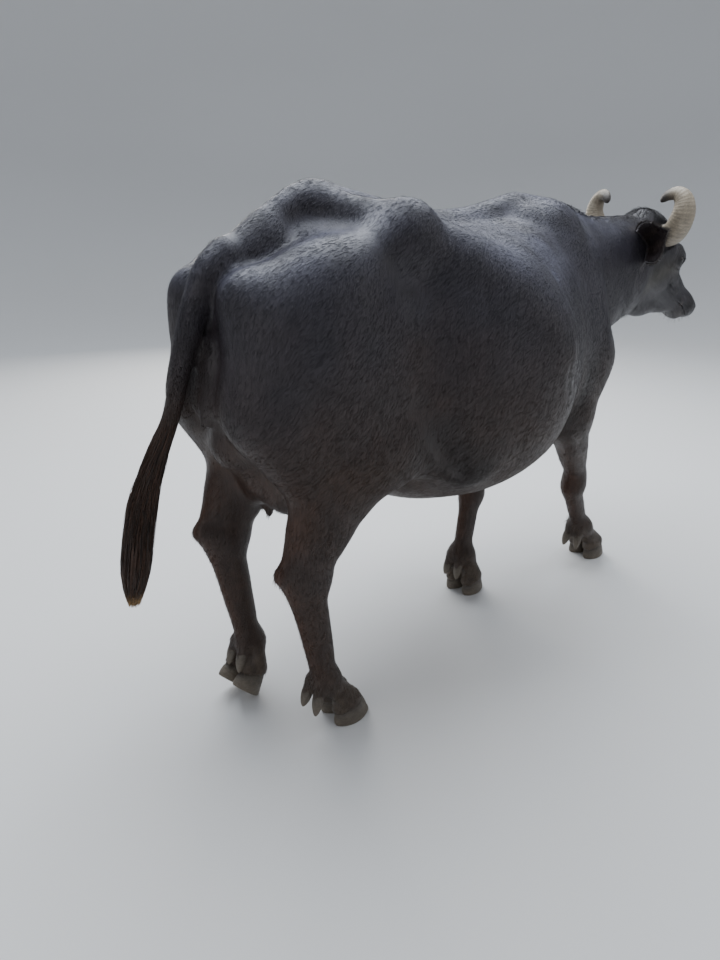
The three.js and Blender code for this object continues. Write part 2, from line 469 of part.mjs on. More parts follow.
// what is left of a shape outside another one, with a gap between the two
function clearOf(shape, other, ways) {
    for (const v of [[0, 0, 0], ...ways]) shape = shape.subtract(other.translate(vmul(v, GAP)));
    return biggest(shape);
}
const FEET = {
    hind_R: [SOLE_RH, [-196, -148, 154], 31], hind_L: [SOLE_LH, [-260, 122, 178], 31],
    fore_R: [SOLE_RF, [1192, -87, 160], 34], fore_L: [SOLE_LF, [664, 88, 150], 34],
};
const LEGS_IN = { // box round each leg below its top cut: x, y ranges
    hind_R: [-520, 20, -330, -96], hind_L: [-520, 20, 76, 330], fore_R: [820, 1450, -300, -20], fore_L: [560, 900, 20, 300],
};
const parts = {};
for (const k of Object.keys(LINES)) {
    const [F, fet, w] = FEET[k], hind = k.startsWith('hind');
    const top = hind ? HIND_LEG_TOP : FORE_LEG_TOP, mid = (hind ? HOCK_CUT : KNEE_CUT) + (k === 'hind_L' ? 30 : 0);
    const [x0, x1, y0, y1] = LEGS_IN[k];
    let leg = whole.intersect(box([x0, y0, -100], [x1, y1, top]));
    whole = whole.subtract(box([x0 - GAP, y0 - GAP, -100], [x1 + GAP, y1 + GAP, top + GAP]));
    leg = biggest(leg);
    // the foot ends on the coronet, the claws go on below it
    const n = norm(vsub(F[1][2], vmul(F[1][0], CORONET))), p = at(F, [0, 0, 57]);
    let foot = past(leg, n, vadd(p, vmul(n, GAP)));
    const side = k.slice(-1), name = hind ? 'hind' : 'fore';
    for (const c of [-1, 1]) {
        const inner = (c > 0) === (side === 'R');
        let claw = stack(clawLoops(F, c, w));
        claw = above(claw, 0);
        // the two claws stay apart
        claw = past(claw, vmul(F[1][1], c), vadd(F[0], vmul(F[1][1], c * 0.6)));
        parts['claw_' + name + '_' + side + (inner ? '_inner' : '_outer')] = claw;
        const dew = dewclaw(F, fet, c);
        parts['dewclaw_' + name + '_' + side + (inner ? '_inner' : '_outer')] = clearOf(dew, foot, [norm(DEW_WAY(c)), [-1, 0, 0], [0, 1, 0], [0, -1, 0]]);
    }
    parts['leg_' + name + '_' + side + '_upper'] = above(foot, mid + GAP / 2);
    parts['leg_' + name + '_' + side + '_lower'] = below(foot, mid - GAP / 2);
}
whole = biggest(whole);

// ---------- tail, horns, eyes and ears ----------
const TAILLINE = TAIL.map((p) => [p[0], p[1], p[2], 70]);
const tailOps = pick('tail');
const tailHusk = husk(along(TAILLINE.slice(1), 16, 0, 70), 9, tailOps, [0, 1, 0]);
const tailFree = biggest(tailHusk.subtract(whole)).translate([-GAP, 0, -0.05]);
parts.tail = above(tailFree, 700 + GAP / 2);
parts.tail_switch = below(tailFree, 700 - GAP / 2);
const headParts = [], hornRoom = {};
for (const s of [-1, 1]) {
    const side = s < 0 ? 'R' : 'L';
    const line = sided(HORN, s).map((p) => [...at(HORNF, p.slice(0, 3)), 70]);
    const hornOps = OPS.filter((o) => o.g === 'horn' && (o.a[1] + o.b[1]) * s > 0);
    const horn = husk(along(line, 15, 0, 70), 9, hornOps, [1, 0, 0]);
    hornRoom[side] = husk(along(line, 15, 0, 70), 9, hornOps, [1, 0, 0], 2);
    const out = vsub(at(HORNF, [0, s, 0]), HORNF[0]);
    headParts.push(['horn_' + side, horn, out]);
    const eye = at(HEAD, [188, s * EYE_OUT, -60]);
    const ball0 = (r) => {
        const loops = [];
        for (let i = 1; i < 7; i++) loops.push([...Array(12).keys()].map((j) => {
            const a = pi * i / 7, q = 2 * pi * j / 12;
            return vadd(eye, [r * sin(a) * cos(q), r * sin(a) * sin(q), -r * cos(a)]);
        }));
        return stack(loops);
    };
    whole = whole.subtract(ball0(EYE_RADIUS + GAP));
    parts['eye_' + side] = ball0(EYE_RADIUS);
}
for (const [name, shape, out] of headParts) {
    parts[name] = biggest(shape.subtract(whole)).translate(vmul(out, GAP));
}
// an ear: loops along its length, each a thin curved leaf open to the outside
function ear(s, F) {
    const n = 6, loops = [];
    for (let i = 0; i <= n; i++) {
        const t = i / n, x = -18 + t * (EAR_LENGTH + 18);
        const half = EAR_WIDTH / 2 * (0.34 + 0.66 * sin(pi * min(1, t * 1.05) ** 0.8)) * (1 - 0.9 * t ** 5);
        const cup = 0.42 * half * (1 - 0.35 * t), thick = 15 - 9 * t;
        const loop = [];
        for (let j = 0; j < 9; j++) {
            const u = -1 + j / 4;
            loop.push(at(F, [x, u * half, -cup * (1 - u * u) * 1.0 - thick * (1 - 0.7 * u * u)]));
        }
        for (let j = 7; j > 0; j--) {
            const u = -1 + j / 4;
            loop.push(at(F, [x, u * half, -cup * (1 - u * u) + thick * 0.15 * (1 - u * u)]));
        }
        loops.push(loop);
    }
    return stack(loops);
}
for (const s of [-1, 1]) {
    const side = s < 0 ? 'R' : 'L';
    const F = EARS[(s + 1) / 2];
    const leaf = ear(s, F);
    parts['ear_' + side] = biggest(past(leaf, F[1][0], at(F, [25, 0, 0])).subtract(whole)).translate(vmul(F[1][0], GAP * 2));
}
// ---------- the long cuts ----------
const neckN = norm([1, 0, 0.12]);
parts.body_hind = past(whole, [-1, 0, 0], [CUT_HIND - GAP / 2, 0, 0]);
const mid0 = past(past(whole, [1, 0, 0], [CUT_HIND + GAP / 2, 0, 0]), [-1, 0, 0], [CUT_FORE - GAP / 2, 0, 0]);
parts.body_barrel = mid0;
const front = past(whole, [1, 0, 0], [CUT_FORE + GAP / 2, 0, 0]);
parts.body_shoulders = past(front, vmul(neckN, -1), vadd([CUT_NECK, 0, 1050], vmul(neckN, -GAP / 2)));
const ahead = past(front, neckN, vadd([CUT_NECK, 0, 1050], vmul(neckN, GAP / 2)));
const headN = norm([0.93, -0.1, -0.36]), headP = at(HEAD, [-30, 0, -110]);
parts.neck = past(ahead, vmul(headN, -1), vadd(headP, vmul(headN, -GAP / 2)));
parts.head = past(ahead, headN, vadd(headP, vmul(headN, GAP / 2)));

// ---------- the group ----------
const LOOK = {
    hide: { color: 0x35333a, roughness: 0.62, metalness: 0 },
    horn: { color: 0xb3a48c, roughness: 0.5, metalness: 0 },
    claw: { color: 0x2d2926, roughness: 0.6, metalness: 0 },
    eye: { color: 0x17110d, roughness: 0.12, metalness: 0 },
    switch: { color: 0x2a1d17, roughness: 0.8, metalness: 0 },
};
function look(name) {
    if (name.startsWith('horn')) return LOOK.horn;
    if (name.startsWith('claw') || name.startsWith('dewclaw')) return LOOK.claw;
    if (name.startsWith('eye')) return LOOK.eye;
    if (name === 'tail_switch') return LOOK.switch;
    return LOOK.hide;
}
const animal = new THREE.Group();
animal.name = 'water_buffalo';
for (const name of Object.keys(parts).sort()) {
    const m = biggest(parts[name]).getMesh(), g = new THREE.BufferGeometry();
    const v = new Float32Array(m.numVert * 3);
    for (let i = 0; i < m.numVert; i++) {
        for (let j = 0; j < 3; j++) v[3 * i + j] = m.vertProperties[i * m.numProp + j] + SHIFT[j];
    }
    g.setAttribute('position', new THREE.BufferAttribute(v, 3));
    g.setIndex(new THREE.BufferAttribute(new Uint32Array(m.triVerts), 1));
    g.computeVertexNormals();
    const mesh = new THREE.Mesh(g, new THREE.MeshStandardMaterial(look(name)));
    mesh.name = name;
    animal.add(mesh);
}
export default animal;
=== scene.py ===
import json
import time
import bpy
import numpy as np
from math import sin, cos, sqrt, pi, atan2, radians
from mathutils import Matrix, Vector

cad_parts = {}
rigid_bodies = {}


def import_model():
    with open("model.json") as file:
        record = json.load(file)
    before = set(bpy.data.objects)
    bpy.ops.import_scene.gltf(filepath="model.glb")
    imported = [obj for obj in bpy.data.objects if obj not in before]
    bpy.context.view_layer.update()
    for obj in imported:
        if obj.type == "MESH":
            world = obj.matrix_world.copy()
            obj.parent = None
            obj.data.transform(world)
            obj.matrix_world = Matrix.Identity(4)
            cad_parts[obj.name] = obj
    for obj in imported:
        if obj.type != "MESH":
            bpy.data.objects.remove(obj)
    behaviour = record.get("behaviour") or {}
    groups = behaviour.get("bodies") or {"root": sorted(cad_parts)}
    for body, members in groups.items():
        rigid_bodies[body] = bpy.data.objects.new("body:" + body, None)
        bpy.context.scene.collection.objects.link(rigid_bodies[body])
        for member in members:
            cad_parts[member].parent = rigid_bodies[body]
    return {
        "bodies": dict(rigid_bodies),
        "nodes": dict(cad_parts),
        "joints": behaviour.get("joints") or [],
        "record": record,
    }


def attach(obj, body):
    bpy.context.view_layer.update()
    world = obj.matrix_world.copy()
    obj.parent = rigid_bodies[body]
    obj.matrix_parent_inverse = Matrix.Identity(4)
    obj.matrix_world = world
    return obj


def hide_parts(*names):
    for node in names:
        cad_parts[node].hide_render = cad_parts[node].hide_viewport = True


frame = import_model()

T0 = time.time()
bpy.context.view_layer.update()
SHIFT = np.array([-658.3, 0.0, 0.0])   # working millimetres to the frame
COAT = 3.0                             # depth of the coat over the skin, mm
CLAW_LENGTH = 118
CLAW_WIDTH = 64
EYE_RADIUS = 20
EYE_OUT = 97
EAR_LENGTH = 240
EAR_WIDTH = 150


def say(*a):
    print("[%5.1f s]" % (time.time() - T0), *a)


# ================= shapes: the animal's anatomy as smooth joined forms =================

OPS=[]
def vsub(a,b): return [a[0]-b[0],a[1]-b[1],a[2]-b[2]]
def vadd(a,b): return [a[0]+b[0],a[1]+b[1],a[2]+b[2]]
def vmul(a,s): return [a[0]*s,a[1]*s,a[2]*s]
def dot(a,b): return a[0]*b[0]+a[1]*b[1]+a[2]*b[2]
def cross(a,b): return [a[1]*b[2]-a[2]*b[1],a[2]*b[0]-a[0]*b[2],a[0]*b[1]-a[1]*b[0]]
def norm(a):
    l=sqrt(dot(a,a)); return [a[0]/l,a[1]/l,a[2]/l]
def mix3(a,b,t): return [a[0]+(b[0]-a[0])*t,a[1]+(b[1]-a[1])*t,a[2]+(b[2]-a[2])*t]
def turn(yaw,pitch,roll):
    # columns: forward, left, up; degrees; pitch > 0 tips the nose down
    y=yaw*pi/180; p=pitch*pi/180; r=roll*pi/180
    f=[cos(y)*cos(p),sin(y)*cos(p),-sin(p)]
    l=[-sin(y),cos(y),0]
    u=cross(f,l)
    l2=vadd(vmul(l,cos(r)),vmul(u,sin(r)))
    u2=vsub(vmul(u,cos(r)),vmul(l,sin(r)))
    return [f,l2,u2]
def frame(o,axes): return [o,axes]
WORLD=frame([0,0,0],turn(0,0,0))
def at(F,p):
    o=F[0]; A=F[1]
    return [o[0]+A[0][0]*p[0]+A[1][0]*p[1]+A[2][0]*p[2],
            o[1]+A[0][1]*p[0]+A[1][1]*p[1]+A[2][1]*p[2],
            o[2]+A[0][2]*p[0]+A[1][2]*p[1]+A[2][2]*p[2]]
def ways(F,yaw,pitch,roll):
    # axes turned inside frame F
    R=turn(yaw,pitch,roll)
    return [vsub(at(F,R[0]),F[0]),vsub(at(F,R[1]),F[0]),vsub(at(F,R[2]),F[0])]
GROUP=['body']
def group(name): GROUP[0]=name
# solid prims: ball = ellipsoid, limb = tapered round-ended bar with an oval section
def ball(name,c,r,k,F=WORLD,axes=None,cut=0):
    c=at(F,c); A=axes if axes is not None else F[1]
    OPS.append(dict(t='E',n=name,c=c,r=r,A=A,k=k,cut=cut,g=GROUP[0],m=max(r)))
def limb(name,a,b,ra,rb,k,flat=1,side=None,bulge=0,F=WORLD,cut=0):
    a=at(F,a); b=at(F,b)
    s=side if side is not None else F[1][1]
    ab=norm(vsub(b,a)); s=norm(vsub(s,vmul(ab,dot(s,ab))))
    OPS.append(dict(t='C',n=name,a=a,b=b,ra=ra,rb=rb,flat=flat,s=s,bulge=bulge,k=k,cut=cut,g=GROUP[0],m=(max(ra,rb)+max(bulge,0))*max(flat,1)))
def loft(name,st,k):
    OPS.append(dict(t='L',n=name,st=st,k=k,cut=0,g=GROUP[0]))
def spline(pts,t):
    # Catmull-Rom through pts (lists of equal length), t from 0 to len-1
    n=len(pts); i=int(t)
    if i>n-2: i=n-2
    if i<0: i=0
    f=t-i; p0=pts[max(i-1,0)]; p1=pts[i]; p2=pts[i+1]; p3=pts[min(i+2,n-1)]
    out=[]
    for j in range(len(p1)):
        a=p0[j];b=p1[j];c=p2[j];d=p3[j]
        out.append(0.5*(2*b+(c-a)*f+(2*a-5*b+4*c-d)*f*f+(3*b-a-3*c+d)*f*f*f))
    return out
def sided(pts,s):
    # the same points with left and right swapped when s is -1
    return [[p[0],s*p[1]]+list(p[2:]) for p in pts]
def cord(name,pts,n,k,flat=1,side=None,F=WORLD,cut=0):
    # pts: [x,y,z,r]; a smooth rope
    segs=[]; last=spline(pts,0)
    for i in range(1,n+1):
        q=spline(pts,(len(pts)-1)*i/n)
        a=at(F,last[0:3]); b=at(F,q[0:3]); s=side if side is not None else F[1][1]
        ab=norm(vsub(b,a)); s=norm(vsub(s,vmul(ab,dot(s,ab))))
        segs.append(dict(t='C',a=a,b=b,ra=last[3],rb=q[3],flat=flat,s=s,bulge=0,m=max(last[3],q[3])*max(flat,1)))
        last=q
    OPS.append(dict(t='R',n=name,segs=segs,k=k,cut=cut,g=GROUP[0]))
# numpy evaluation
def _loft_tab(st):
    st=np.array(st,float)
    x=st[:,0]
    xs=np.linspace(x[0],x[-1],400)
    # cubic hermite (Catmull-Rom, nonuniform)
    m=np.gradient(st,x,axis=0)
    idx=np.clip(np.searchsorted(x,xs)-1,0,len(x)-2)
    h=(x[idx+1]-x[idx]); t=(xs-x[idx])/h
    h00=2*t**3-3*t**2+1;h10=t**3-2*t**2+t;h01=-2*t**3+3*t**2;h11=t**3-t**2
    v=h00[:,None]*st[idx]+h10[:,None]*h[:,None]*m[idx]+h01[:,None]*st[idx+1]+h11[:,None]*h[:,None]*m[idx+1]
    return xs,v
def op_eval(o,X,Y,Z):
    t=o['t']
    if t=='R':
        out=op_eval(o['segs'][0],X,Y,Z)
        for s in o['segs'][1:]: out=np.minimum(out,op_eval(s,X,Y,Z))
        return out
    if t=='E':
        A=np.array(o['A']);c=o['c'];r=o['r']
        dx=X-c[0];dy=Y-c[1];dz=Z-c[2]
        u=(dx*A[0][0]+dy*A[0][1]+dz*A[0][2])/r[0]
        v=(dx*A[1][0]+dy*A[1][1]+dz*A[1][2])/r[1]
        w=(dx*A[2][0]+dy*A[2][1]+dz*A[2][2])/r[2]
        k0=np.sqrt(u*u+v*v+w*w)
        k1=np.sqrt((u/r[0])**2+(v/r[1])**2+(w/r[2])**2)+1e-9
        return k0*(k0-1)/k1
    if t=='C':
        a=o['a'];b=o['b'];ab=vsub(b,a);L2=dot(ab,ab)
        dx=X-a[0];dy=Y-a[1];dz=Z-a[2]
        q=np.clip((dx*ab[0]+dy*ab[1]+dz*ab[2])/L2,0,1)
        dx=dx-q*ab[0];dy=dy-q*ab[1];dz=dz-q*ab[2]
        s=o['s'];fl=o['flat']
        r=o['ra']+(o['rb']-o['ra'])*q+o['bulge']*4*q*(1-q)
        d2=dx*dx+dy*dy+dz*dz
        if fl!=1:
            ds=dx*s[0]+dy*s[1]+dz*s[2]
            d2=d2-ds*ds
            n=np.sqrt(d2+(ds/fl)**2)+1e-9
            # first-order distance for the oval section
            g=np.sqrt(d2+(ds/fl/fl)**2)+1e-9
            return (n-r)*n/g
        return np.sqrt(d2)-r
    if t=='L':
        if 'tab' not in o: o['tab']=_loft_tab(o['st'])
        xs,v=o['tab']
        def f(j): return np.interp(X,xs,v[:,j])
        top=f(1);bot=f(2);w=f(3);zc=f(4);nt=f(5);nb=f(6)
        up=Z>zc
        h=np.where(up,top-zc,zc-bot); n=np.where(up,nt,nb)
        a=np.abs(Y)/w; b=np.abs(Z-zc)/h
        a=np.maximum(a,1e-4); b=np.maximum(b,1e-4)
        s=(a**n+b**n)**(1/n)
        # gradient length of s
        ga=(a/s)**(n-1)/w; gb=(b/s)**(n-1)/h
        d=(s-1)/np.sqrt(ga*ga+gb*gb)
        d=np.minimum(d, 400)
        x0=xs[0];x1=xs[-1]
        ex=np.maximum(x0-X,X-x1)
        return np.where(ex>0,np.sqrt(np.maximum(d,0)**2+ex**2)+0*d, np.where(ex>-60,np.maximum(d,ex),d))
def op_box(o,pad):
    if o['t']=='R':
        b=[op_box(s,pad) for s in o['segs']]
        return np.min([q[0] for q in b],0),np.max([q[1] for q in b],0)
    if o['t']=='E':
        A=np.array(o['A']); r=np.array(o['r']); e=np.sqrt(((A*r[:,None])**2).sum(0))
        c=np.array(o['c']); return c-e-pad,c+e+pad
    if o['t']=='C':
        a=np.array(o['a']);b=np.array(o['b']);m=o['m']
        return np.minimum(a,b)-m-pad,np.maximum(a,b)+m+pad
    st=np.array(o['st'])
    return np.array([st[0,0]-pad,-st[:,3].max()*1.08-pad,st[:,2].min()-pad-30]),np.array([st[-1,0]+pad,st[:,3].max()*1.08+pad,st[:,1].max()+pad+30])
def comb(a,b,k,cut):
    if cut:
        # a with b taken away, smooth
        h=np.maximum(k-np.abs(a+b),0)/k
        return np.maximum(a,-b)+h*h*k*0.25
    h=np.maximum(k-np.abs(a-b),0)/k
    return np.minimum(a,b)-h*h*k*0.25
def field_grid(lo,hi,cell,groups,ops=None,union_k=None):
    """groups: list of group names; returns F array and axes"""
    ops=OPS if ops is None else ops
    n=[int(np.ceil((hi[i]-lo[i])/cell))+1 for i in range(3)]
    ax=[lo[i]+cell*np.arange(n[i]) for i in range(3)]
    out=None
    for g in groups:
        F=np.full(n,1e3,np.float32)
        for o in ops:
            if o['g']!=g: continue
            pad=max(o['k'],0)+2.5*cell+6
            a,b=op_box(o,pad)
            s=[];ok=True
            for i in range(3):
                i0=max(0,int(np.floor((a[i]-lo[i])/cell))); i1=min(n[i],int(np.ceil((b[i]-lo[i])/cell))+1)
                if i1<=i0: ok=False
                s.append(slice(i0,i1))
            if not ok: continue
            X=ax[0][s[0]][:,None,None].astype(np.float32);Y=ax[1][s[1]][None,:,None].astype(np.float32);Z=ax[2][s[2]][None,None,:].astype(np.float32)
            sub=F[s[0],s[1],s[2]]
            F[s[0],s[1],s[2]]=comb(sub,op_eval(o,X,Y,Z),max(o['k'],1e-3),o['cut'])
        if out is None: out=F
        else:
            k=(union_k or {}).get(g,1e-3)
            out=comb(out,F,k,0)
    return out,ax
def field_pts(P,groups,ops=None,union_k=None):
    ops=OPS if ops is None else ops
    out=None
    for g in groups:
        F=np.full(len(P),1e3)
        for o in ops:
            if o['g']!=g: continue
            a,b=op_box(o,max(o['k'],0)+25)
            m=np.all((P>a)&(P<b),axis=1)
            if not m.any(): continue
            Q=P[m]
            F[m]=comb(F[m],op_eval(o,Q[:,0],Q[:,1],Q[:,2]),max(o['k'],1e-3),o['cut'])
        if out is None: out=F
        else: out=comb(out,F,(union_k or {}).get(g,1e-3),0)
    return out
def surface_nets(F,ax,level=0.0):
    cell=ax[0][1]-ax[0][0]
    S=F<level
    nx,ny,nz=F.shape
    # cells with sign change
    c=np.zeros((nx-1,ny-1,nz-1),np.int8)
    for i in (0,1):
        for j in (0,1):
            for k in (0,1):
                c+=S[i:nx-1+i,j:ny-1+j,k:nz-1+k]
    act=(c>0)&(c<8)
    idx=-np.ones(act.shape,np.int64); ii=np.argwhere(act); idx[act]=np.arange(len(ii))
    acc=np.zeros((len(ii),3)); cnt=np.zeros(len(ii))
    E=[]
    for d in range(3):
        o=[e for e in range(3) if e!=d]
        for a in (0,1):
            for b in (0,1):
                off=np.zeros(3,int); off[o[0]]=a; off[o[1]]=b
                p=ii+off; q=p.copy(); q[:,d]+=1
                f0=F[p[:,0],p[:,1],p[:,2]]-level; f1=F[q[:,0],q[:,1],q[:,2]]-level
                m=(f0<0)!=(f1<0)
                t=np.zeros(len(ii)); t[m]=f0[m]/(f0[m]-f1[m])
                pt=off[None,:].astype(float).repeat(len(ii),0); pt[:,d]=t
                acc[m]+=pt[m]; cnt[m]+=1
    V=ii+acc/cnt[:,None]
    V=np.stack([ax[i][0]+V[:,i]*cell for i in range(3)],1)
    faces=[]
    for d in range(3):
        o1,o2=(d+1)%3,(d+2)%3
        sl0=[slice(None)]*3; sl1=[slice(None)]*3
        sl0[d]=slice(0,-1); sl1[d]=slice(1,None)
        A=S[tuple(sl0)]; B=S[tuple(sl1)]
        ed=np.argwhere(A!=B)
        m=(ed[:,o1]>0)&(ed[:,o2]>0)&(ed[:,o1]<F.shape[o1]-1)&(ed[:,o2]<F.shape[o2]-1)
        ed=ed[m]
        inside=A[ed[:,0],ed[:,1],ed[:,2]]
        def cid(a,b):
            e=ed.copy(); e[:,o1]-=a; e[:,o2]-=b
            return idx[e[:,0],e[:,1],e[:,2]]
        q=np.stack([cid(1,1),cid(0,1),cid(0,0),cid(1,0)],1)
        q[~inside]=q[~inside][:,::-1]
        faces.append(q)
    Q=np.concatenate(faces)
    return V,Q

# ---------- trunk: top, bottom, half width, widest level, roundness above and below, along the spine ----------
group('body')
loft('barrel', [
 [-330,1200, 900,115,1090,2.0,2.0],
 [-240,1265, 810,175,1080,2.1,2.0],
 [-120,1332, 725,225,1060,2.2,2.0],
 [   0,1350, 655,275,1010,2.5,2.1],
 [ 120,1338, 575,338, 960,2.8,2.2],
 [ 250,1320, 540,386, 925,2.8,2.2],
 [ 380,1312, 532,410, 905,2.7,2.2],
 [ 480,1316, 545,400, 900,2.4,2.2],
 [ 580,1328, 564,362, 905,2.1,2.2],
 [ 680,1344, 584,312, 920,1.9,2.1],
 [ 780,1350, 592,268, 940,1.75,2.1],
 [ 880,1336, 615,235, 950,1.75,2.1],
 [ 980,1308, 648,202, 960,1.8,2.1],
 [1070,1275, 700,158, 985,2.0,2.0]], 1)
# ridge from the hip forward to the last rib
for s in [-1,1]:
    cord('flank_ridge',[[30,s*206,1280,56],[150,s*250,1234,58],[300,s*300,1136,60],[420,s*330,1010,58]],8,100)
ball('chest',[950,0,850],[170,185,240],80)
# spine ridge
cord('spine',[[-310,0,1240,36],[-200,0,1326,38],[-105,0,1372,39],[0,0,1362,39],[150,0,1338,37],[320,0,1314,37],[480,0,1322,37],[620,0,1346,38],[720,0,1362,40],[850,0,1334,44],[980,0,1304,48]],24,60)
for s in [-1,1]:
    # hook bone, with its ridges to the sacrum and back to the pin bone
    limb('hook_bar',[-70,s*40,1352],[15,s*205,1318],36,36,60)
    ball('hook',[22,s*222,1318],[52,30,36],40,WORLD,turn(s*20,12,0))
    limb('hook_ridge',[0,s*222,1285],[-200,s*178,1205],48,58,80)
    limb('thurl',[-160,s*172,1190],[-340,s*108,1155],80,48,60)
    ball('pin',[-362,s*100,1178],[32,30,34],45)
    limb('shoulder_crest',[690,s*58,1315],[840,s*48,1308],40,48,50)
limb('tail_root',[-230,0,1275],[-325,0,1240],50,36,45)
limb('perineum',[-325,0,1160],[-320,0,830],62,80,50)
# udder, with four teats, and the vulva under the tail
limb('udder',[-230,0,745],[-60,0,690],95,88,60,0.95)
for s in [-1,1]:
    ball('quarter_rear',[-205,s*50,700],[85,62,85],40)
    ball('quarter_fore',[-75,s*50,680],[85,58,72],40)
    limb('teat_rear',[-205,s*52,640],[-210,s*56,585],17,12,14)
    limb('teat_fore',[-85,s*55,625],[-85,s*60,575],17,12,14)
    limb('vulva',[-382,s*12,1060],[-396,s*15,930],28,30,16)
limb('vulva_tip',[-393,0,930],[-408,0,892],30,18,16)

# ---------- limbs ----------
def hind_leg(s,hip,stifle,hock,fet,F):
    heel=[hock[0]-68,hock[1],hock[2]+36]
    knee=[hock[0]+52,hock[1]+s*6,hock[2]+118]
    limb('thigh',hip,[stifle[0]-70,stifle[1]-s*15,stifle[2]+60],190,130,90,0.55)
    limb('rump_mass',[-205,s*165,1075],[-205,s*165,900],172,160,80,0.55)
    limb('ham',[-322,s*105,1140],[-322,s*122,930],78,98,60,0.8)
    limb('ham_low',[-322,s*122,930],[hock[0]+32,hock[1]*0.97,hock[2]+230],98,60,60,0.75)
    ball('stifle',[stifle[0],stifle[1]-s*10,stifle[2]],[80,58,95],60)
    limb('flank_fold',[stifle[0]+10,stifle[1]-s*20,stifle[2]+20],[190,s*285,735],50,55,90,0.45)
    limb('gaskin',[stifle[0]-85,stifle[1]-s*25,stifle[2]-45],knee,100,74,60,0.66)
    limb('gaskin_low',knee,[hock[0]+26,hock[1],hock[2]+30],74,58,40,0.7)
    limb('achilles',[hock[0]+28,hock[1]*0.98,hock[2]+200],[heel[0]+8,heel[1],heel[2]],44,25,50,0.75)
    ball('hock',[hock[0]+12,hock[1],hock[2]],[64,43,68],30)
    limb('heel',[hock[0]-10,hock[1],hock[2]+4],heel,36,24,25,0.85)
    limb('cannon',[hock[0]+16,hock[1],hock[2]-20],[fet[0]+4,fet[1],fet[2]],42,34,30,0.88)
    limb('tendon',[heel[0]+26,heel[1],heel[2]-40],[fet[0]-20,fet[1],fet[2]+16],22,18,30,0.85)
    ball('fetlock',fet,[48,46,46],25)
    foot(fet,F,31)
def foot(fet,F,w):
    # F stands on the floor under the foot: x to the toes, z up from the sole
    for c in [-1,1]:
        limb('pastern',[fet[0]+6,fet[1]+c*16,fet[2]-12],at(F,[-6,c*w,70]),32,37,22)
        limb('dew_root',[fet[0]-32,fet[1]+c*20,fet[2]-2],[fet[0]-44,fet[1]+c*23,fet[2]-34],20,18,18)
        limb('bulb',at(F,[-34,c*w,52]),at(F,[-20,c*w,64]),28,31,20)
def fore_leg(s,shoulder,elbow,knee,fet,F):
    limb('upper_arm',shoulder,elbow,88,84,80,0.66)
    limb('triceps',[elbow[0]-30,elbow[1]-s*8,elbow[2]+260],[elbow[0]-15,elbow[1],elbow[2]+30],125,66,80,0.5)
    ball('elbow',[elbow[0]-50,elbow[1],elbow[2]+18],[34,28,38],30)
    limb('forearm',[elbow[0],elbow[1],elbow[2]-10],[knee[0],knee[1],knee[2]+50],84,47,50,0.8,None,4)
    ball('knee',knee,[52,47,62],30)
    limb('cannon',[knee[0]-1,knee[1],knee[2]-20],[fet[0]+4,fet[1],fet[2]],37,32,30,0.92)
    limb('tendon',[knee[0]-34,knee[1],knee[2]-20],[fet[0]-22,fet[1],fet[2]+16],21,18,30,0.85)
    ball('fetlock',fet,[50,55,50],25)
    foot(fet,F,34)
# where each foot stands, and the way its toes point
SOLE_RH=frame([-122,-142,0],turn(-6,0,0))
SOLE_LH=frame([-310,120,39.5],turn(4,45,0))
SOLE_RF=frame([1296,-76,0],turn(-8,0,0))
SOLE_LF=frame([688,82,0],turn(4,0,0))
hind_leg(-1,[-140,-168,1050],[-15,-225,800],[-262,-163,490],[-196,-148,154],SOLE_RH)
hind_leg( 1,[-140, 168,1050],[-40, 225,805],[-312, 126,520],[-260, 122,178],SOLE_LH)
for s in [-1,1]:
    limb('blade',[800,s*100,1265],[960,s*150,900],80,92,90,0.6)
    ball('shoulder_point',[985,s*160,885],[62,50,80],60)
fore_leg(-1,[965,-160,880],[870,-172,705],[1074,-106,388],[1192,-87,160],SOLE_RF)
fore_leg( 1,[950, 160,880],[800, 168,725],[714, 96,388],[664,88,150],SOLE_LF)

# ---------- neck ----------
limb('neck_base',[880,0,1080],[1100,0,1095],268,222,90,0.62)
limb('neck_mid',[1100,0,1095],[1300,-5,1135],222,182,80,0.60)
limb('neck_top',[1300,-5,1135],[1455,-13,1165],182,160,60,0.62)
limb('brisket',[1020,0,800],[985,0,690],100,75,80)
limb('dewlap',[1330,-5,1060],[1560,-22,1030],88,70,50,0.5)
limb('throat_skin',[1560,-22,1030],[1700,-48,1000],70,46,45,0.55)

# ---------- head, in its own frame: x from the poll to the nose, y left, z out of the forehead ----------
HEAD=frame([1532,-17,1345],turn(-9.9,41.5,0))
ball('cranium',[95,0,-80],[118,94,84],50,HEAD)
ball('poll',[25,0,-44],[70,82,58],40,HEAD)
ball('forehead',[135,0,-50],[135,90,52],50,HEAD)
limb('bridge',[190,0,-62],[450,0,-62],58,42,40,0.9,None,0,HEAD)
limb('maxilla',[190,0,-110],[430,0,-88],78,48,40,0.86,None,0,HEAD)
ball('muzzle',[462,0,-72],[56,66,50],35,HEAD)
ball('nosepad',[500,0,-62],[26,54,36],20,HEAD)
ball('chin',[436,0,-114],[54,40,26],25,HEAD)
for s in [-1,1]:
    limb('jaw',[130,s*48,-180],[430,s*18,-100],42,24,40,1,None,0,HEAD)
    ball('masseter',[140,s*70,-130],[90,28,78],40,HEAD)
    limb('cheekbone',[110,s*90,-70],[260,s*72,-88],24,16,30,1,None,0,HEAD)
    ball('brow',[190,s*82,-42],[46,26,34],25,HEAD)
limb('throat',[150,0,-170],[10,0,-190],80,120,60,0.7,None,0,HEAD)

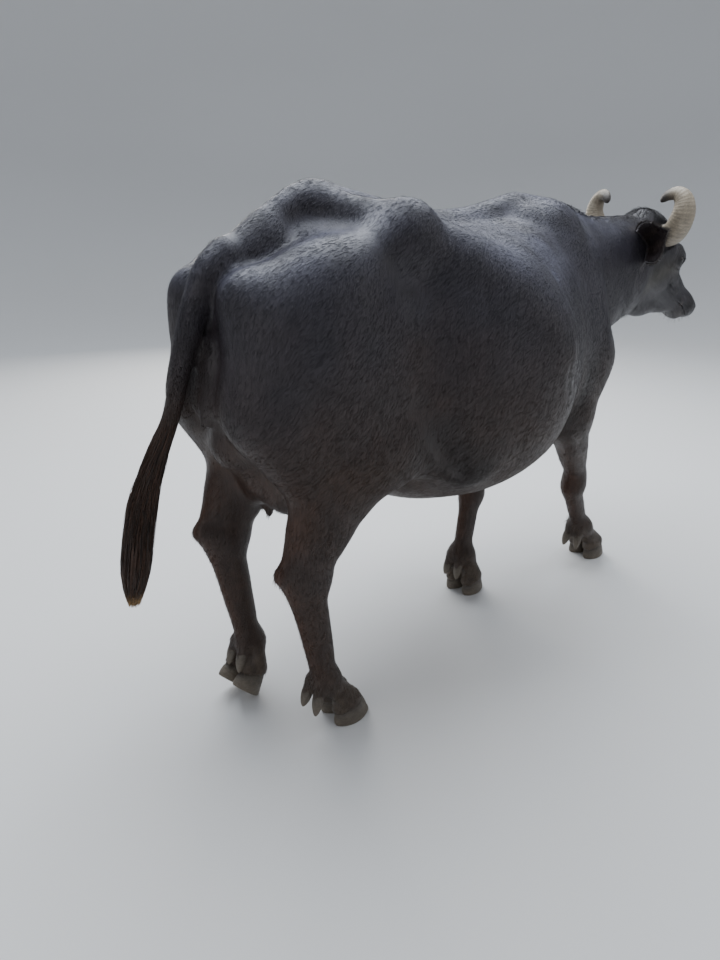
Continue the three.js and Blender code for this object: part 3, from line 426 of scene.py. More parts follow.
# ---------- tail ----------
group('tail')
TAIL=[[-335,0,1256,37],[-385,-4,1215,35],[-425,8,1110,32],[-448,30,1010,25],[-463,60,907,22],[-496,120,767,28],[-520,165,640,38],[-535,195,500,40],[-546,212,400,24],[-548,216,360,8]]
cord('tail',TAIL,24,14)
group('body')
# ---------- ears, laid back along the neck: x to the tip, z out of the hollow; only their fleshy roots are here ----------
EARS=[frame(at(HEAD,[-38,-101,-207]),turn(-129.9,-17.3,-249.5)),frame(at(HEAD,[-29.6,91,-200.1]),turn(110.1,-17.3,-110.5))]
for s in [-1,1]:
    limb('ear_root',at(HEAD,[42,s*92,-128]),at(EARS[max(0,s)],[-4,0,-14]),44,23,30)
# ---------- horns ----------
group('horn')
HORNF=frame([1532,-17,1345],turn(-9.9,10,0))
HORN=[[20,70,-74,43],[-4,115,-86,43],[-32,165,-70,42],[-54,195,-20,39],[-62,190,26,32],[-72,165,48,25],[-82,136,40,18],[-88,116,18,10]]
for s in [-1,1]:
    cord('horn',sided(HORN,s),20,4,1,None,HORNF)


# ================= finer anatomy that only the skin has =================
def inside_frame(F, X, Y, Z):
    o, A = F
    dx, dy, dz = X - o[0], Y - o[1], Z - o[2]
    return [dx * a[0] + dy * a[1] + dz * a[2] for a in A]


def special(name, fn, lo, hi, k, cut=0, g='body'):
    OPS.append(dict(t='X', n=name, f=fn, lo=np.array(lo, float), hi=np.array(hi, float), k=k, cut=cut, g=g))


_op_eval, _op_box = op_eval, op_box


def op_eval(o, X, Y, Z):
    return o['f'](X, Y, Z) if o['t'] == 'X' else _op_eval(o, X, Y, Z)


def op_box(o, pad):
    return (o['lo'] - pad, o['hi'] + pad) if o['t'] == 'X' else _op_box(o, pad)


def ear_form(F, s, extra):
    """The ear's leaf: a cupped blade, thick at the root, thin at the rim."""
    def f(X, Y, Z):
        x, y, z = inside_frame(F, X, Y, Z)
        t = np.clip((x + 18) / (EAR_LENGTH + 18), 0, 1)
        half = EAR_WIDTH / 2 * (0.34 + 0.66 * np.sin(pi * np.minimum(1, t * 1.05) ** 0.8)) * (1 - 0.9 * t ** 5)
        half = np.maximum(half, 1.0)
        u = np.clip(y / half, -1.15, 1.15)
        cup = 0.42 * half * (1 - 0.35 * t)
        deep = 1 + 0.5 * np.exp(-((t - 0.16) / 0.16) ** 2)
        thick = 12.5 - 6.0 * t
        # two soft ribs inside the hollow
        rib = 1.6 * np.exp(-((u - 0.28) / 0.09) ** 2) + 1.4 * np.exp(-((u + 0.25) / 0.09) ** 2)
        rib = rib * np.clip(1.15 - t, 0, 1) * np.clip(t * 5, 0, 1)
        mid = -cup * (1 - u * u) * deep - thick * 0.62
        slope = 2 * cup * u / half * deep
        half_t = thick * 0.5 * (1 - 0.45 * np.minimum(1, u * u)) + extra
        up = z - mid
        dz = np.abs(up) / np.sqrt(1 + slope * slope) - half_t - np.where(up > 0, rib, 0)
        dy = (np.abs(y) - half + 2.0) * 0.9
        dx = np.maximum(x - (EAR_LENGTH - 4), -18 - x)
        e = np.maximum(dy, dx)
        r = 2.5
        return np.minimum(np.maximum(dz + r, e + r), 0) + np.sqrt(np.maximum(dz + r, 0) ** 2 + np.maximum(e + r, 0) ** 2) - r
    c = np.array([at(F, [x, y, z]) for x in (-22, EAR_LENGTH + 4) for y in (-80, 80) for z in (-62, 30)])
    special('ear', f, c.min(0), c.max(0), 9)


def sub_frame(F, p, yaw, pitch, roll):
    """A frame at the point p of F, turned inside F."""
    return frame3(at(F, p), ways(F, yaw, pitch, roll))


def frame3(o, axes):
    return [o, axes]


group('body')
for n_, F_ in enumerate(EARS):
    ear_form(F_, -1 if n_ == 0 else 1, COAT)
EYES = []
for s in [-1, 1]:
    # looks out sideways, a little forward and up
    E = sub_frame(HEAD, [188, s * EYE_OUT, -60], s * 68, -12, -s * 20)
    EYES.append(E)
    limb('brow_ridge', [168, s * 84, -30], [212, s * 84, -38], 16, 13, 22, 1, None, 0, HEAD)
    ball('lower_bag', [192, s * 96, -84], [26, 13, 10], 18, HEAD)
    limb('tear_line', [214, s * 92, -70], [262, s * 70, -92], 8, 5, 16, 1, None, 0, HEAD)
    limb('face_crest', [180, s * 92, -98], [330, s * 62, -96], 13, 9, 24, 1, None, 0, HEAD)
    limb('temple', [112, s * 98, -62], [160, s * 92, -86], 16, 10, 26, 1, None, 0, HEAD)
    # veins down the cheek
    cord('cheek_vein', [[236, s * 84, -122, 4.5], [270, s * 74, -128, 4.5], [310, s * 62, -120, 4], [345, s * 54, -102, 3.5]], 5, 9, 1, None, HEAD)
    limb('lip_corner', [380, s * 42, -112], [352, s * 44, -126], 11, 8, 14, 1, None, 0, HEAD)
    limb('upper_lip', [398, s * 44, -92], [478, s * 38, -94], 17, 15, 16, 1, None, 0, HEAD)
    limb('wing', [478, s * 44, -52], [508, s * 34, -46], 12, 11, 14, 1, None, 0, HEAD)
    limb('wing_low', [484, s * 44, -72], [510, s * 32, -76], 11, 11, 14, 1, None, 0, HEAD)
ball('lip_pad', [508, 0, -88], [15, 30, 14], 14, HEAD)
ball('chin_pad', [462, 0, -128], [24, 28, 12], 14, HEAD)
# under the skin the barrel runs out inside the neck, so that no edge shows
for o_ in OPS:
    if o_['n'] == 'barrel':
        o_['st'][-1] = [1070, 1080, 890, 34, 985, 2.0, 2.0]
        o_.pop('tab', None)
for E in EYES:
    # both lids: a cover over the eyeball, then an almond opening through it
    ball('lids', E[0], [EYE_RADIUS + 5.8, EYE_RADIUS + 5.8, EYE_RADIUS + 5.8], 14)
    ball('lid_opening', [27, 0, -0.5], [19, 18.5, 8.8], 2, E, None, 1)
for s in [-1, 1]:
    cord('nostril', [[519, s * 20, -74, 3.0], [521, s * 30, -68, 5.5], [512, s * 41, -58, 5.0], [497, s * 50, -54, 1.5]], 8, 4, 1, None, HEAD, 1)
    cord('mouth', [[516, 0, -109, 0.8], [510, s * 18, -109, 0.8], [490, s * 37, -108, 0.8], [452, s * 48, -107, 0.8], [412, s * 50, -110, 0.6], [378, s * 49, -117, 0.2]], 14, 3, 1, None, HEAD, 1)
# a groove down the middle of the upper lip
cord('lip_groove', [[536, 0, -60, 0.2], [534, 0, -78, 0.6], [526, 0, -98, 0.6]], 4, 3, 1, None, HEAD, 1)
# the skin ends at the coronet, where the claws begin
def sole_form(F):
    n = norm(vsub(F[1][2], vmul(F[1][0], 0.36)))
    p = at(F, [0, 0, 55])

    def f(X, Y, Z):
        return (X - p[0]) * n[0] + (Y - p[1]) * n[1] + (Z - p[2]) * n[2]
    c = np.array(at(F, [0, 0, 0]))
    special('sole_cut', f, c - [130, 110, 60], c + [130, 110, 125], 5, 1)


# cleft between the claws' bulbs, behind and in front of each foot
for F_ in (SOLE_RH, SOLE_LH, SOLE_RF, SOLE_LF):
    cord('cleft', [[-66, 0, 50, 7], [-42, 0, 64, 5], [-20, 0, 74, 2]], 5, 10, 1, None, F_, 1)
    cord('cleft', [[48, 0, 64, 7], [30, 0, 86, 5], [14, 0, 112, 1]], 5, 12, 1, None, F_, 1)
for F_ in (SOLE_RH, SOLE_LH, SOLE_RF, SOLE_LF):
    sole_form(F_)
# the tail's core thins out where the long hair takes over
OPS[:] = [o for o in OPS if o['g'] != 'tail']
group('tail')
cord('tail', [[p[0], p[1], p[2], min(p[3], 9 + max(0, p[2] - 380) * 0.034)] for p in TAIL[:-1]], 30, 10)
group('body')

# loose skin: soft creases as height over the skin, in mm
def hump(q, w):
    return np.exp(-(q / w) ** 2)


def smooth01(x, a, b):
    t = np.clip((x - a) / (b - a), 0, 1)
    return t * t * (3 - 2 * t)


def hash3(i, j, k):
    h = np.sin(i * 127.1 + j * 311.7 + k * 74.7) * 43758.5453
    return h - np.floor(h)


def noise3(P, size, seed=0.0):
    """Smooth value noise from 0 to 1."""
    Q = P / size + seed
    i = np.floor(Q)
    f = Q - i
    f = f * f * (3 - 2 * f)
    out = 0
    for a in (0, 1):
        for b in (0, 1):
            for c in (0, 1):
                w = (f[:, 0] if a else 1 - f[:, 0]) * (f[:, 1] if b else 1 - f[:, 1]) * (f[:, 2] if c else 1 - f[:, 2])
                out = out + w * hash3(i[:, 0] + a, i[:, 1] + b, i[:, 2] + c)
    return out


def crease(P, a, b, width, depth):
    """A fold line from a to b."""
    a, b = np.array(a, float), np.array(b, float)
    ab = b - a
    t = np.clip(((P - a) @ ab) / (ab @ ab), 0, 1)
    d = np.linalg.norm(P - a - t[:, None] * ab, axis=1)
    fade = np.sin(pi * np.clip(t * 0.96 + 0.02, 0, 1)) ** 0.6
    return -depth * fade * hump(d, width)


def near_line(P, pts):
    """Distance to a broken line."""
    best = np.full(len(P), 1e9)
    for a, b in zip(pts[:-1], pts[1:]):
        a, b = np.array(a[:3], float), np.array(b[:3], float)
        ab = b - a
        t = np.clip(((P - a) @ ab) / (ab @ ab), 0, 1)
        best = np.minimum(best, np.linalg.norm(P - a - t[:, None] * ab, axis=1))
    return best


def relief(P):
    """Height added to the skin, in mm."""
    h = np.zeros(len(P))
    x, y, z = P.T
    # neck: shallow rings of loose skin, strongest at the throat
    m = (x > 980) & (x < 1560) & (z > 800)
    if m.any():
        Q = P[m]
        along = Q[:, 0] + 0.25 * (Q[:, 2] - 1050)
        wob = 26 * (noise3(Q, 170, 3) - 0.5) + 60 * (noise3(Q, 420, 9) - 0.5)
        low = smooth01(-Q[:, 2], -1290, -1040)
        fade = smooth01(Q[:, 0], 1000, 1120) * (1 - smooth01(Q[:, 0], 1470, 1560))
        h[m] += fade * (0.25 + low) * 1.1 * np.sin((along + 2.2 * wob) / 24.0)
    # behind the elbow and in the flank
    for s in (-1, 1):
        e = 870 if s < 0 else 800
        for i in range(4):
            h += crease(P, [e - 70 - 26 * i, s * 205, 690 + 22 * i], [e - 62 - 20 * i, s * 218, 860 + 20 * i], 9, 3.2 - 0.5 * i)
        for i in range(3):
            h += crease(P, [70 + 34 * i, s * 262, 760 + 26 * i], [180 + 30 * i, s * 310, 690 + 10 * i], 12, 3.5 - 0.6 * i)
        h -= 5.0 * hump(near_line(P, [[-10, s * 262, 900], [62, s * 272, 800], [150, s * 300, 715]]), 26)
    # ribs, hardly there
    m = (x > 360) & (x < 800) & (np.abs(y) > 170)
    if m.any():
        Q = P[m]
        ph = (Q[:, 0] + 0.32 * (Q[:, 2] - 900)) / 52.0 * 2 * pi
        h[m] += 0.9 * np.sin(ph) * smooth01(Q[:, 0], 360, 470) * (1 - smooth01(Q[:, 0], 690, 800)) * hump(Q[:, 2] - 1000, 190)
    # skin wrinkles round the eyes
    for E in EYES:
        d = np.linalg.norm(P - np.array(E[0]), axis=1)
        m = d < 75
        if m.any():
            Q = P[m]
            X_, Y_, Z_ = inside_frame(E, Q[:, 0], Q[:, 1], Q[:, 2])
            ang = np.arctan2(Z_, Y_)
            h[m] += 0.9 * np.sin(d[m] / 2.3 + 1.2 * np.sin(3 * ang)) * hump(d[m] - 40, 13)
    # knuckled skin over knees, hocks and fetlocks
    for c, r in [((1074, -106, 388), 78), ((714, 96, 388), 78), ((-262, -163, 490), 90), ((-312, 126, 520), 90),
                 ((1192, -87, 160), 66), ((664, 88, 150), 66), ((-196, -148, 154), 66), ((-260, 122, 178), 66)]:
        d = np.linalg.norm(P - np.array(c, float), axis=1)
        m = d < r * 1.3
        if m.any():
            Q = P[m]
            h[m] += 0.5 * np.sin((Q[:, 2] + 42 * (noise3(Q, 45, 5) - 0.5)) / 4.2) * hump(d[m], r * 0.6)
    # soft unevenness of flesh all over
    h += 3.0 * (noise3(P, 150, 2) - 0.5) + 1.2 * (noise3(P, 55, 7) - 0.5)
    return h


# ================= from forms to a mesh =================
def refine(V, T, mark):
    E = np.sort(np.concatenate([T[:, [0, 1]], T[:, [1, 2]], T[:, [2, 0]]]), 1)
    key = E[:, 0].astype(np.int64) * (len(V) + 1) + E[:, 1]
    U, first, inv = np.unique(key, return_index=True, return_inverse=True)
    UE = E[first]
    e = inv.reshape(3, len(T)).T
    flag = np.zeros(len(U), bool)
    flag[e[mark].ravel()] = True
    mid = -np.ones(len(U), np.int64)
    mid[flag] = len(V) + np.arange(flag.sum())
    V2 = np.concatenate([V, (V[UE[flag, 0]] + V[UE[flag, 1]]) / 2])
    m = mid[e]
    c = (m >= 0).sum(1)
    out = [T[c == 0]]
    k = c == 3
    a, b, d = T[k].T
    p, q, r = m[k].T
    out += [np.stack(t, 1) for t in ((a, p, r), (p, b, q), (r, q, d), (p, q, r))]
    for s in range(3):
        k = (c == 1) & (m[:, s] >= 0)
        a, b, d = T[k][:, s], T[k][:, (s + 1) % 3], T[k][:, (s + 2) % 3]
        p = m[k][:, s]
        out += [np.stack(t, 1) for t in ((a, p, d), (p, b, d))]
        k = (c == 2) & (m[:, s] < 0)
        a, b, d = T[k][:, s], T[k][:, (s + 1) % 3], T[k][:, (s + 2) % 3]
        q, r = m[k][:, (s + 1) % 3], m[k][:, (s + 2) % 3]
        out += [np.stack(t, 1) for t in ((d, r, q), (a, b, q), (a, q, r))]
    return V2, np.concatenate(out)


def tidy(V, T):
    used = np.unique(T)
    new = -np.ones(len(V), np.int64)
    new[used] = np.arange(len(used))
    return V[used], new[T]


def rims(T, n):
    E = np.concatenate([T[:, [0, 1]], T[:, [1, 2]], T[:, [2, 0]]])
    key = np.minimum(E[:, 0], E[:, 1]) * (n + 1) + np.maximum(E[:, 0], E[:, 1])
    U, inv, cnt = np.unique(key, return_inverse=True, return_counts=True)
    B = E[cnt[inv] == 1]
    nxt = {}
    for a, b in B.tolist():
        nxt.setdefault(a, []).append(b)
    loops = []
    while nxt:
        a = next(iter(nxt))
        loop = [a]
        while True:
            l = nxt.get(loop[-1])
            if not l:
                break
            b = l.pop()
            if not l:
                del nxt[loop[-1]]
            if b == loop[0]:
                break
            loop.append(b)
        loops.append(loop)
    return sorted(loops, key=len)


def zip_loops(V, A, B):
    """Triangles between two rims; A and B as their own faces run round them."""
    B = B[::-1]
    j0 = int(np.argmin(np.linalg.norm(V[B] - V[A[0]], axis=1)))
    B = B[j0:] + B[:j0]
    i = j = 0
    out = []
    na, nb = len(A), len(B)
    while i < na or j < nb:
        a, b = A[i % na], B[j % nb]
        a1, b1 = A[(i + 1) % na], B[(j + 1) % nb]
        if j >= nb or (i < na and np.linalg.norm(V[a1] - V[b]) < np.linalg.norm(V[a] - V[b1])):
            out.append((a1, a, b))
            i += 1
        else:
            out.append((b, b1, a))
            j += 1
    return np.array(out, np.int64)


def normals(V, T):
    n = np.cross(V[T[:, 1]] - V[T[:, 0]], V[T[:, 2]] - V[T[:, 0]])
    out = np.zeros_like(V)
    for c in range(3):
        for k in range(3):
            out[:, c] += np.bincount(T[:, k], n[:, c], len(V))
    return out / (np.linalg.norm(out, axis=1)[:, None] + 1e-12)


def relax(V, T, w, keep=None):
    """Evens out the spacing along the surface."""
    E = np.concatenate([T[:, [0, 1]], T[:, [1, 2]], T[:, [2, 0]]])
    E = np.concatenate([E, E[:, ::-1]])
    cnt = np.bincount(E[:, 0], minlength=len(V)).astype(float)
    avg = np.stack([np.bincount(E[:, 0], V[E[:, 1], c], len(V)) for c in range(3)], 1) / np.maximum(cnt, 1)[:, None]
    N = normals(V, T)
    d = avg - V
    d -= N * (d * N).sum(1)[:, None]
    if keep is not None:
        d[keep] = 0
    return V + w * d


UNION = {'tail': 22.0}


def skin_field(P):
    return field_pts(P, ['body', 'tail'], None, UNION)


def settle(V, steps, rough=True, cap=9.0, eps=0.8):
    for _ in range(steps):
        f0 = skin_field(V)
        g = np.stack([skin_field(V + np.array(d) * eps) - f0 for d in ((1, 0, 0), (0, 1, 0), (0, 0, 1))], 1) / eps
        l2 = np.maximum((g * g).sum(1), 0.15)
        goal = -COAT + (relief(V) if rough else 0)
        step = (goal - f0) / l2
        mv = g * step[:, None]
        ln = np.linalg.norm(mv, axis=1)
        mv *= np.minimum(1, cap / np.maximum(ln, 1e-9))[:, None]
        V = V + mv
    return V


CELL = 11.5
FINE = 5.0
PART_X = 1222.0


def fat(delta):
    """Sets the blend width of the ears' forms to 9 mm."""
    for o in OPS:
        if o['n'] == 'ear':
            o['k'] = 9


def build_skin():
    lo, hi = [-600, -440, -20], [1400, 440, 1440]
    F, ax = field_grid(lo, hi, CELL, ['body', 'tail'], None, UNION)
    V1, Q1 = surface_nets(F, ax, -COAT)
    say('coarse', len(V1), len(Q1))
    lo, hi = [PART_X - 30, -330, 820], [1960, 330, 1480]
    ops = [o for o in OPS if o['n'] != 'lid']
    F, ax = field_grid(lo, hi, FINE, ['body'], ops)
    V2, Q2 = surface_nets(F, ax, -COAT if not EARS_FAT else -COAT)
    say('fine', len(V2), len(Q2))
    T1 = np.concatenate([Q1[:, [0, 1, 2]], Q1[:, [0, 2, 3]]])
    T2 = np.concatenate([Q2[:, [0, 1, 2]], Q2[:, [0, 2, 3]]])
    T1 = T1[((V1[T1][:, :, 0] < PART_X - CELL * 0.3) | (V1[T1][:, :, 2] < 650)).all(1)]
    T2 = T2[(V2[T2][:, :, 0] > PART_X + FINE * 0.3).all(1)]
    V1, T1 = tidy(V1, T1)
    V2, T2 = tidy(V2, T2)
    V1, T1 = largest(V1, T1)
    V2, T2 = largest(V2, T2)
    A = rims(T1, len(V1))[-1]
    B = rims(T2, len(V2))[-1]
    V = np.concatenate([V1, V2])
    T = np.concatenate([T1, T2 + len(V1)])
    B = [b + len(V1) for b in B]
    T = np.concatenate([T, zip_loops(V, A, B)])
    say('joined', len(V), len(T), 'open rims', len(rims(T, len(V))), 'rim lengths', len(A), len(B))
    return V, T


def largest(V, T):
    """The largest connected piece."""
    lab = np.arange(len(V))
    E = np.concatenate([T[:, [0, 1]], T[:, [1, 2]]])
    while True:
        m = np.minimum(lab[E[:, 0]], lab[E[:, 1]])
        new = lab.copy()
        np.minimum.at(new, E[:, 0], m)
        np.minimum.at(new, E[:, 1], m)
        new = new[new]
        if (new == lab).all():
            break
        lab = new
    u, c = np.unique(lab[T[:, 0]], return_counts=True)
    T = T[lab[T[:, 0]] == u[np.argmax(c)]]
    return tidy(V, T)


EARS_FAT = True
V, T = build_skin()
def near(V, T, c, r):
    m = V[T].mean(1)
    return np.linalg.norm(m - np.array(c, float), axis=1) < r


V = settle(V, 1, False)
V = relax(V, T, 0.5)
# finer where the form is finer: feet, eyes, nostrils and mouth
feet = np.zeros(len(T), bool)
for F_ in (SOLE_RH, SOLE_LH, SOLE_RF, SOLE_LF):
    feet |= near(V, T, at(F_, [-10, 0, 90]), 130)
V, T = refine(V, T, feet)
face = np.zeros(len(T), bool)
for E in EYES:
    face |= near(V, T, E[0], 46)
for s in (-1, 1):
    face |= near(V, T, at(HEAD, [508, s * 34, -62]), 34)
for q in range(7):
    for s in (-1, 1):
        face |= near(V, T, at(HEAD, [380 + 21 * q, s * (44 - 0.9 * q * q), -110]), 22)
V, T = refine(V, T, face)
eyes = np.zeros(len(T), bool)
for E in EYES:
    eyes |= near(V, T, E[0], 37)
V, T = refine(V, T, eyes)
say('refined', len(V), len(T))
for i in range(3):
    V = settle(V, 1, True)
    V = relax(V, T, 0.45)
V = settle(V, 2, True, 5.0)
say('settled', len(V), len(T))



# ================= markings, painted sheen and painted shade: one function colours skin and coat ===
SLATE = np.array([0.0232, 0.0205, 0.0262])
BROWN = np.array([0.0275, 0.0148, 0.0096])
# DARK: near-black for the muzzle, lids, lashes and dark hair, and for the painted shade in the folds
DARK = np.array([0.0080, 0.0070, 0.0078])
# PALE: the colour of the painted sky sheen along the back, and of the scar's pale rim
PALE = np.array([0.072, 0.074, 0.105])
DUST = np.array([0.200, 0.165, 0.120])
PINKISH = np.array([0.030, 0.021, 0.019])


def lerp(a, b, t):
    return a + (b - a) * t[:, None]


def tone(P, N):
    x, y, z = P.T
    n1, n2, n3 = noise3(P, 210, 11), noise3(P, 70, 4), noise3(P, 19, 8)
    C = np.tile(SLATE, (len(P), 1))
    # warmer and browner low on the thighs, legs and belly
    warm = (1 - smooth01(z + 0.10 * (x - 250) + 190 * (n1 - 0.5), 680, 1190)) * 0.95
    C = lerp(C, BROWN, np.clip(warm + 0.25 * (n2 - 0.5), 0, 1))
    # painted sheen: a lighter, bluish reflection of the sky painted on the upward-facing skin along the back, the
    # hooks and the ribs' upper side
    painted_sky_sheen = smooth01(N[:, 2], 0.05, 0.95) * smooth01(z, 980, 1250)
    C = lerp(C, PALE, np.clip(painted_sky_sheen * (0.62 + 0.7 * (n2 - 0.5)) * (1 - smooth01(x, 1150, 1400)), 0, 1))
    # reddish rims on the rear edges of the legs, hocks and belly edge
    rear = smooth01(-N[:, 0], 0.25, 0.95) * (1 - smooth01(z, 520, 900)) * smooth01(z, 150, 300)
    C = lerp(C, np.array([0.070, 0.028, 0.014]), rear * 0.5)
    belly = smooth01(-N[:, 2], 0.3, 0.9) * smooth01(z, 480, 560) * (1 - smooth01(z, 700, 800))
    C = lerp(C, np.array([0.034, 0.017, 0.011]), belly * 0.5)
    # painted shade in the folds between thigh and belly and behind the elbow
    for s in (-1, 1):
        d = near_line(P, [[90, s * 255, 800], [190, s * 300, 700]])
        C = lerp(C, DARK * 0.8, 0.75 * hump(d, 85))
        e = 880 if s < 0 else 812
        d = near_line(P, [[e - 60, s * 190, 690], [e - 50, s * 210, 850]])
        C = lerp(C, DARK * 0.8, 0.7 * hump(d, 60))
    # small bare scar on the right side, behind the last rib's top
    d = np.linalg.norm(P - np.array([470, -330, 1190]), axis=1)
    C = lerp(C, DARK * 0.7, 0.8 * hump(d, 13))
    C = lerp(C, PALE * 1.3, 0.7 * hump(d - 15, 6))
    # udder and vulva: bare, greyish pink
    d = near_line(P, [[-205, 0, 650], [-80, 0, 640]])
    C = lerp(C, PINKISH, 0.75 * hump(d, 105) * (1 - smooth01(z, 690, 780)))
    d = near_line(P, [[-395, 0, 1060], [-404, 0, 900]])
    C = lerp(C, PINKISH * 0.75, 0.8 * hump(d, 48))
    # tail: brown from halfway down
    tl = near_line(P, TAIL)
    ontail = (tl < 55) & (x < -395)
    C = np.where(ontail[:, None], lerp(C, np.array([0.036, 0.018, 0.0105]), (1 - smooth01(z, 760, 1060)) * 0.85), C)
    # head
    hx, hy, hz = inside_frame(HEAD, x, y, z)
    head = smooth01(hx, -40, 60) * smooth01(x, 1400, 1470)
    if head.max() > 0:
        # grey band down the cheek
        band = hump(hx - 175 - 0.5 * (hz + 110), 46) * smooth01(np.abs(hy), 55, 85) * smooth01(-hz, 60, 130)
        C = lerp(C, DARK * 1.6, head * 0.35)
        C = lerp(C, np.array([0.055, 0.050, 0.041]), head * 0.75 * band)
        # darker forehead and bridge, near-black muzzle with pale flecks on the lips
        C = lerp(C, DARK * 1.5, head * 0.55 * smooth01(hz, -80, -20))
        muz = smooth01(hx, 395, 470)
        C = lerp(C, DARK * 1.15, head * 0.7 * muz)
        fleck = smooth01(noise3(P, 13, 21), 0.66, 0.86) * hump(hz + 112, 17) * smooth01(hx, 360, 430)
        C = lerp(C, np.array([0.15, 0.125, 0.115]), head * 0.4 * fleck)
        lip = hump(hz + 128, 16) * smooth01(hx, 400, 450)
        C = lerp(C, np.array([0.085, 0.075, 0.070]), head * 0.3 * lip)
        for E in EYES:
            d = np.linalg.norm(P - np.array(E[0]), axis=1)
            C = lerp(C, DARK * 0.9, 0.8 * hump(d - 24, 9))
            C = lerp(C, np.array([0.050, 0.046, 0.044]), 0.3 * hump(d - 46, 11))
    for i, F_ in enumerate(EARS):
        ex, ey, ez = inside_frame(F_, x, y, z)
        inside = (ex > 4) & (ex < EAR_LENGTH + 4) & (np.abs(ey) < 80) & (ez > -80) & (ez < 25)
        face_out = N @ np.array(F_[1][2])
        k = inside * smooth01(face_out, 0.0, 0.6)
        C = lerp(C, np.array([0.0190, 0.0125, 0.0130]), k * 0.9)
        rim = inside * smooth01(np.abs(ey), 40, 62)
        C = lerp(C, np.array([0.060, 0.052, 0.056]), rim * 0.6)
    # dust on the feet, thrown up unevenly
    dust = (1 - smooth01(z + 70 * (n2 - 0.5), 40, 215)) * (0.25 + 0.55 * n3)
    C = lerp(C, DUST, np.clip(dust, 0, 0.62) * 0.40)
    # fine unevenness
    C = C * (0.86 + 0.28 * n3[:, None]) * (0.92 + 0.16 * n2[:, None])
    return np.clip(C, 0.002, 1)


# ================= meshes =================
def make_mesh(name, V, T, tint=None, smooth=True, uv=None):
    me = bpy.data.meshes.new(name)
    P = ((V + SHIFT) / 1000).astype(np.float32)
    T = np.ascontiguousarray(T)
    me.vertices.add(len(P))
    me.vertices.foreach_set('co', P.ravel())
    me.loops.add(T.size)
    me.loops.foreach_set('vertex_index', T.astype(np.int32).ravel())
    me.polygons.add(len(T))
    me.polygons.foreach_set('loop_start', np.arange(0, T.size, T.shape[1], dtype=np.int32))
    me.polygons.foreach_set('loop_total', np.full(len(T), T.shape[1], np.int32))
    if uv is not None:
        L = me.uv_layers.new(name='OFBake')
        L.data.foreach_set('uv', uv[T.ravel()].astype(np.float32).ravel())
    if tint is not None:
        A = me.color_attributes.new('tone', 'FLOAT_COLOR', 'POINT')
        c = np.concatenate([tint, np.ones((len(tint), 1))], 1).astype(np.float32)
        A.data.foreach_set('color', c.ravel())
    me.update(calc_edges=True)
    me.validate()
    if smooth:
        me.shade_smooth()
    ob = bpy.data.objects.new(name, me)
    bpy.context.collection.objects.link(ob)
    return ob


def node(nt, kind, **kw):
    n = nt.nodes.new(kind)
    for k, v in kw.items():
        if k == 'inputs':
            for i, val in v.items():
                n.inputs[i].default_value = val
        else:
            setattr(n, k, v)
    return n


def new_material(name):
    m = bpy.data.materials.new(name)
    m.use_nodes = True
    nt = m.node_tree
    nt.nodes.clear()
    out = nt.nodes.new('ShaderNodeOutputMaterial')
    b = nt.nodes.new('ShaderNodeBsdfPrincipled')
    nt.links.new(b.outputs[0], out.inputs[0])
    return m, nt, b


def scaled_coords(nt, scale, rot=(0, 0, 0)):
    tc = node(nt, 'ShaderNodeTexCoord')
    mp = node(nt, 'ShaderNodeMapping')
    mp.inputs['Scale'].default_value = scale
    mp.inputs['Rotation'].default_value = rot
    nt.links.new(tc.outputs['Object'], mp.inputs[0])
    return mp.outputs[0]


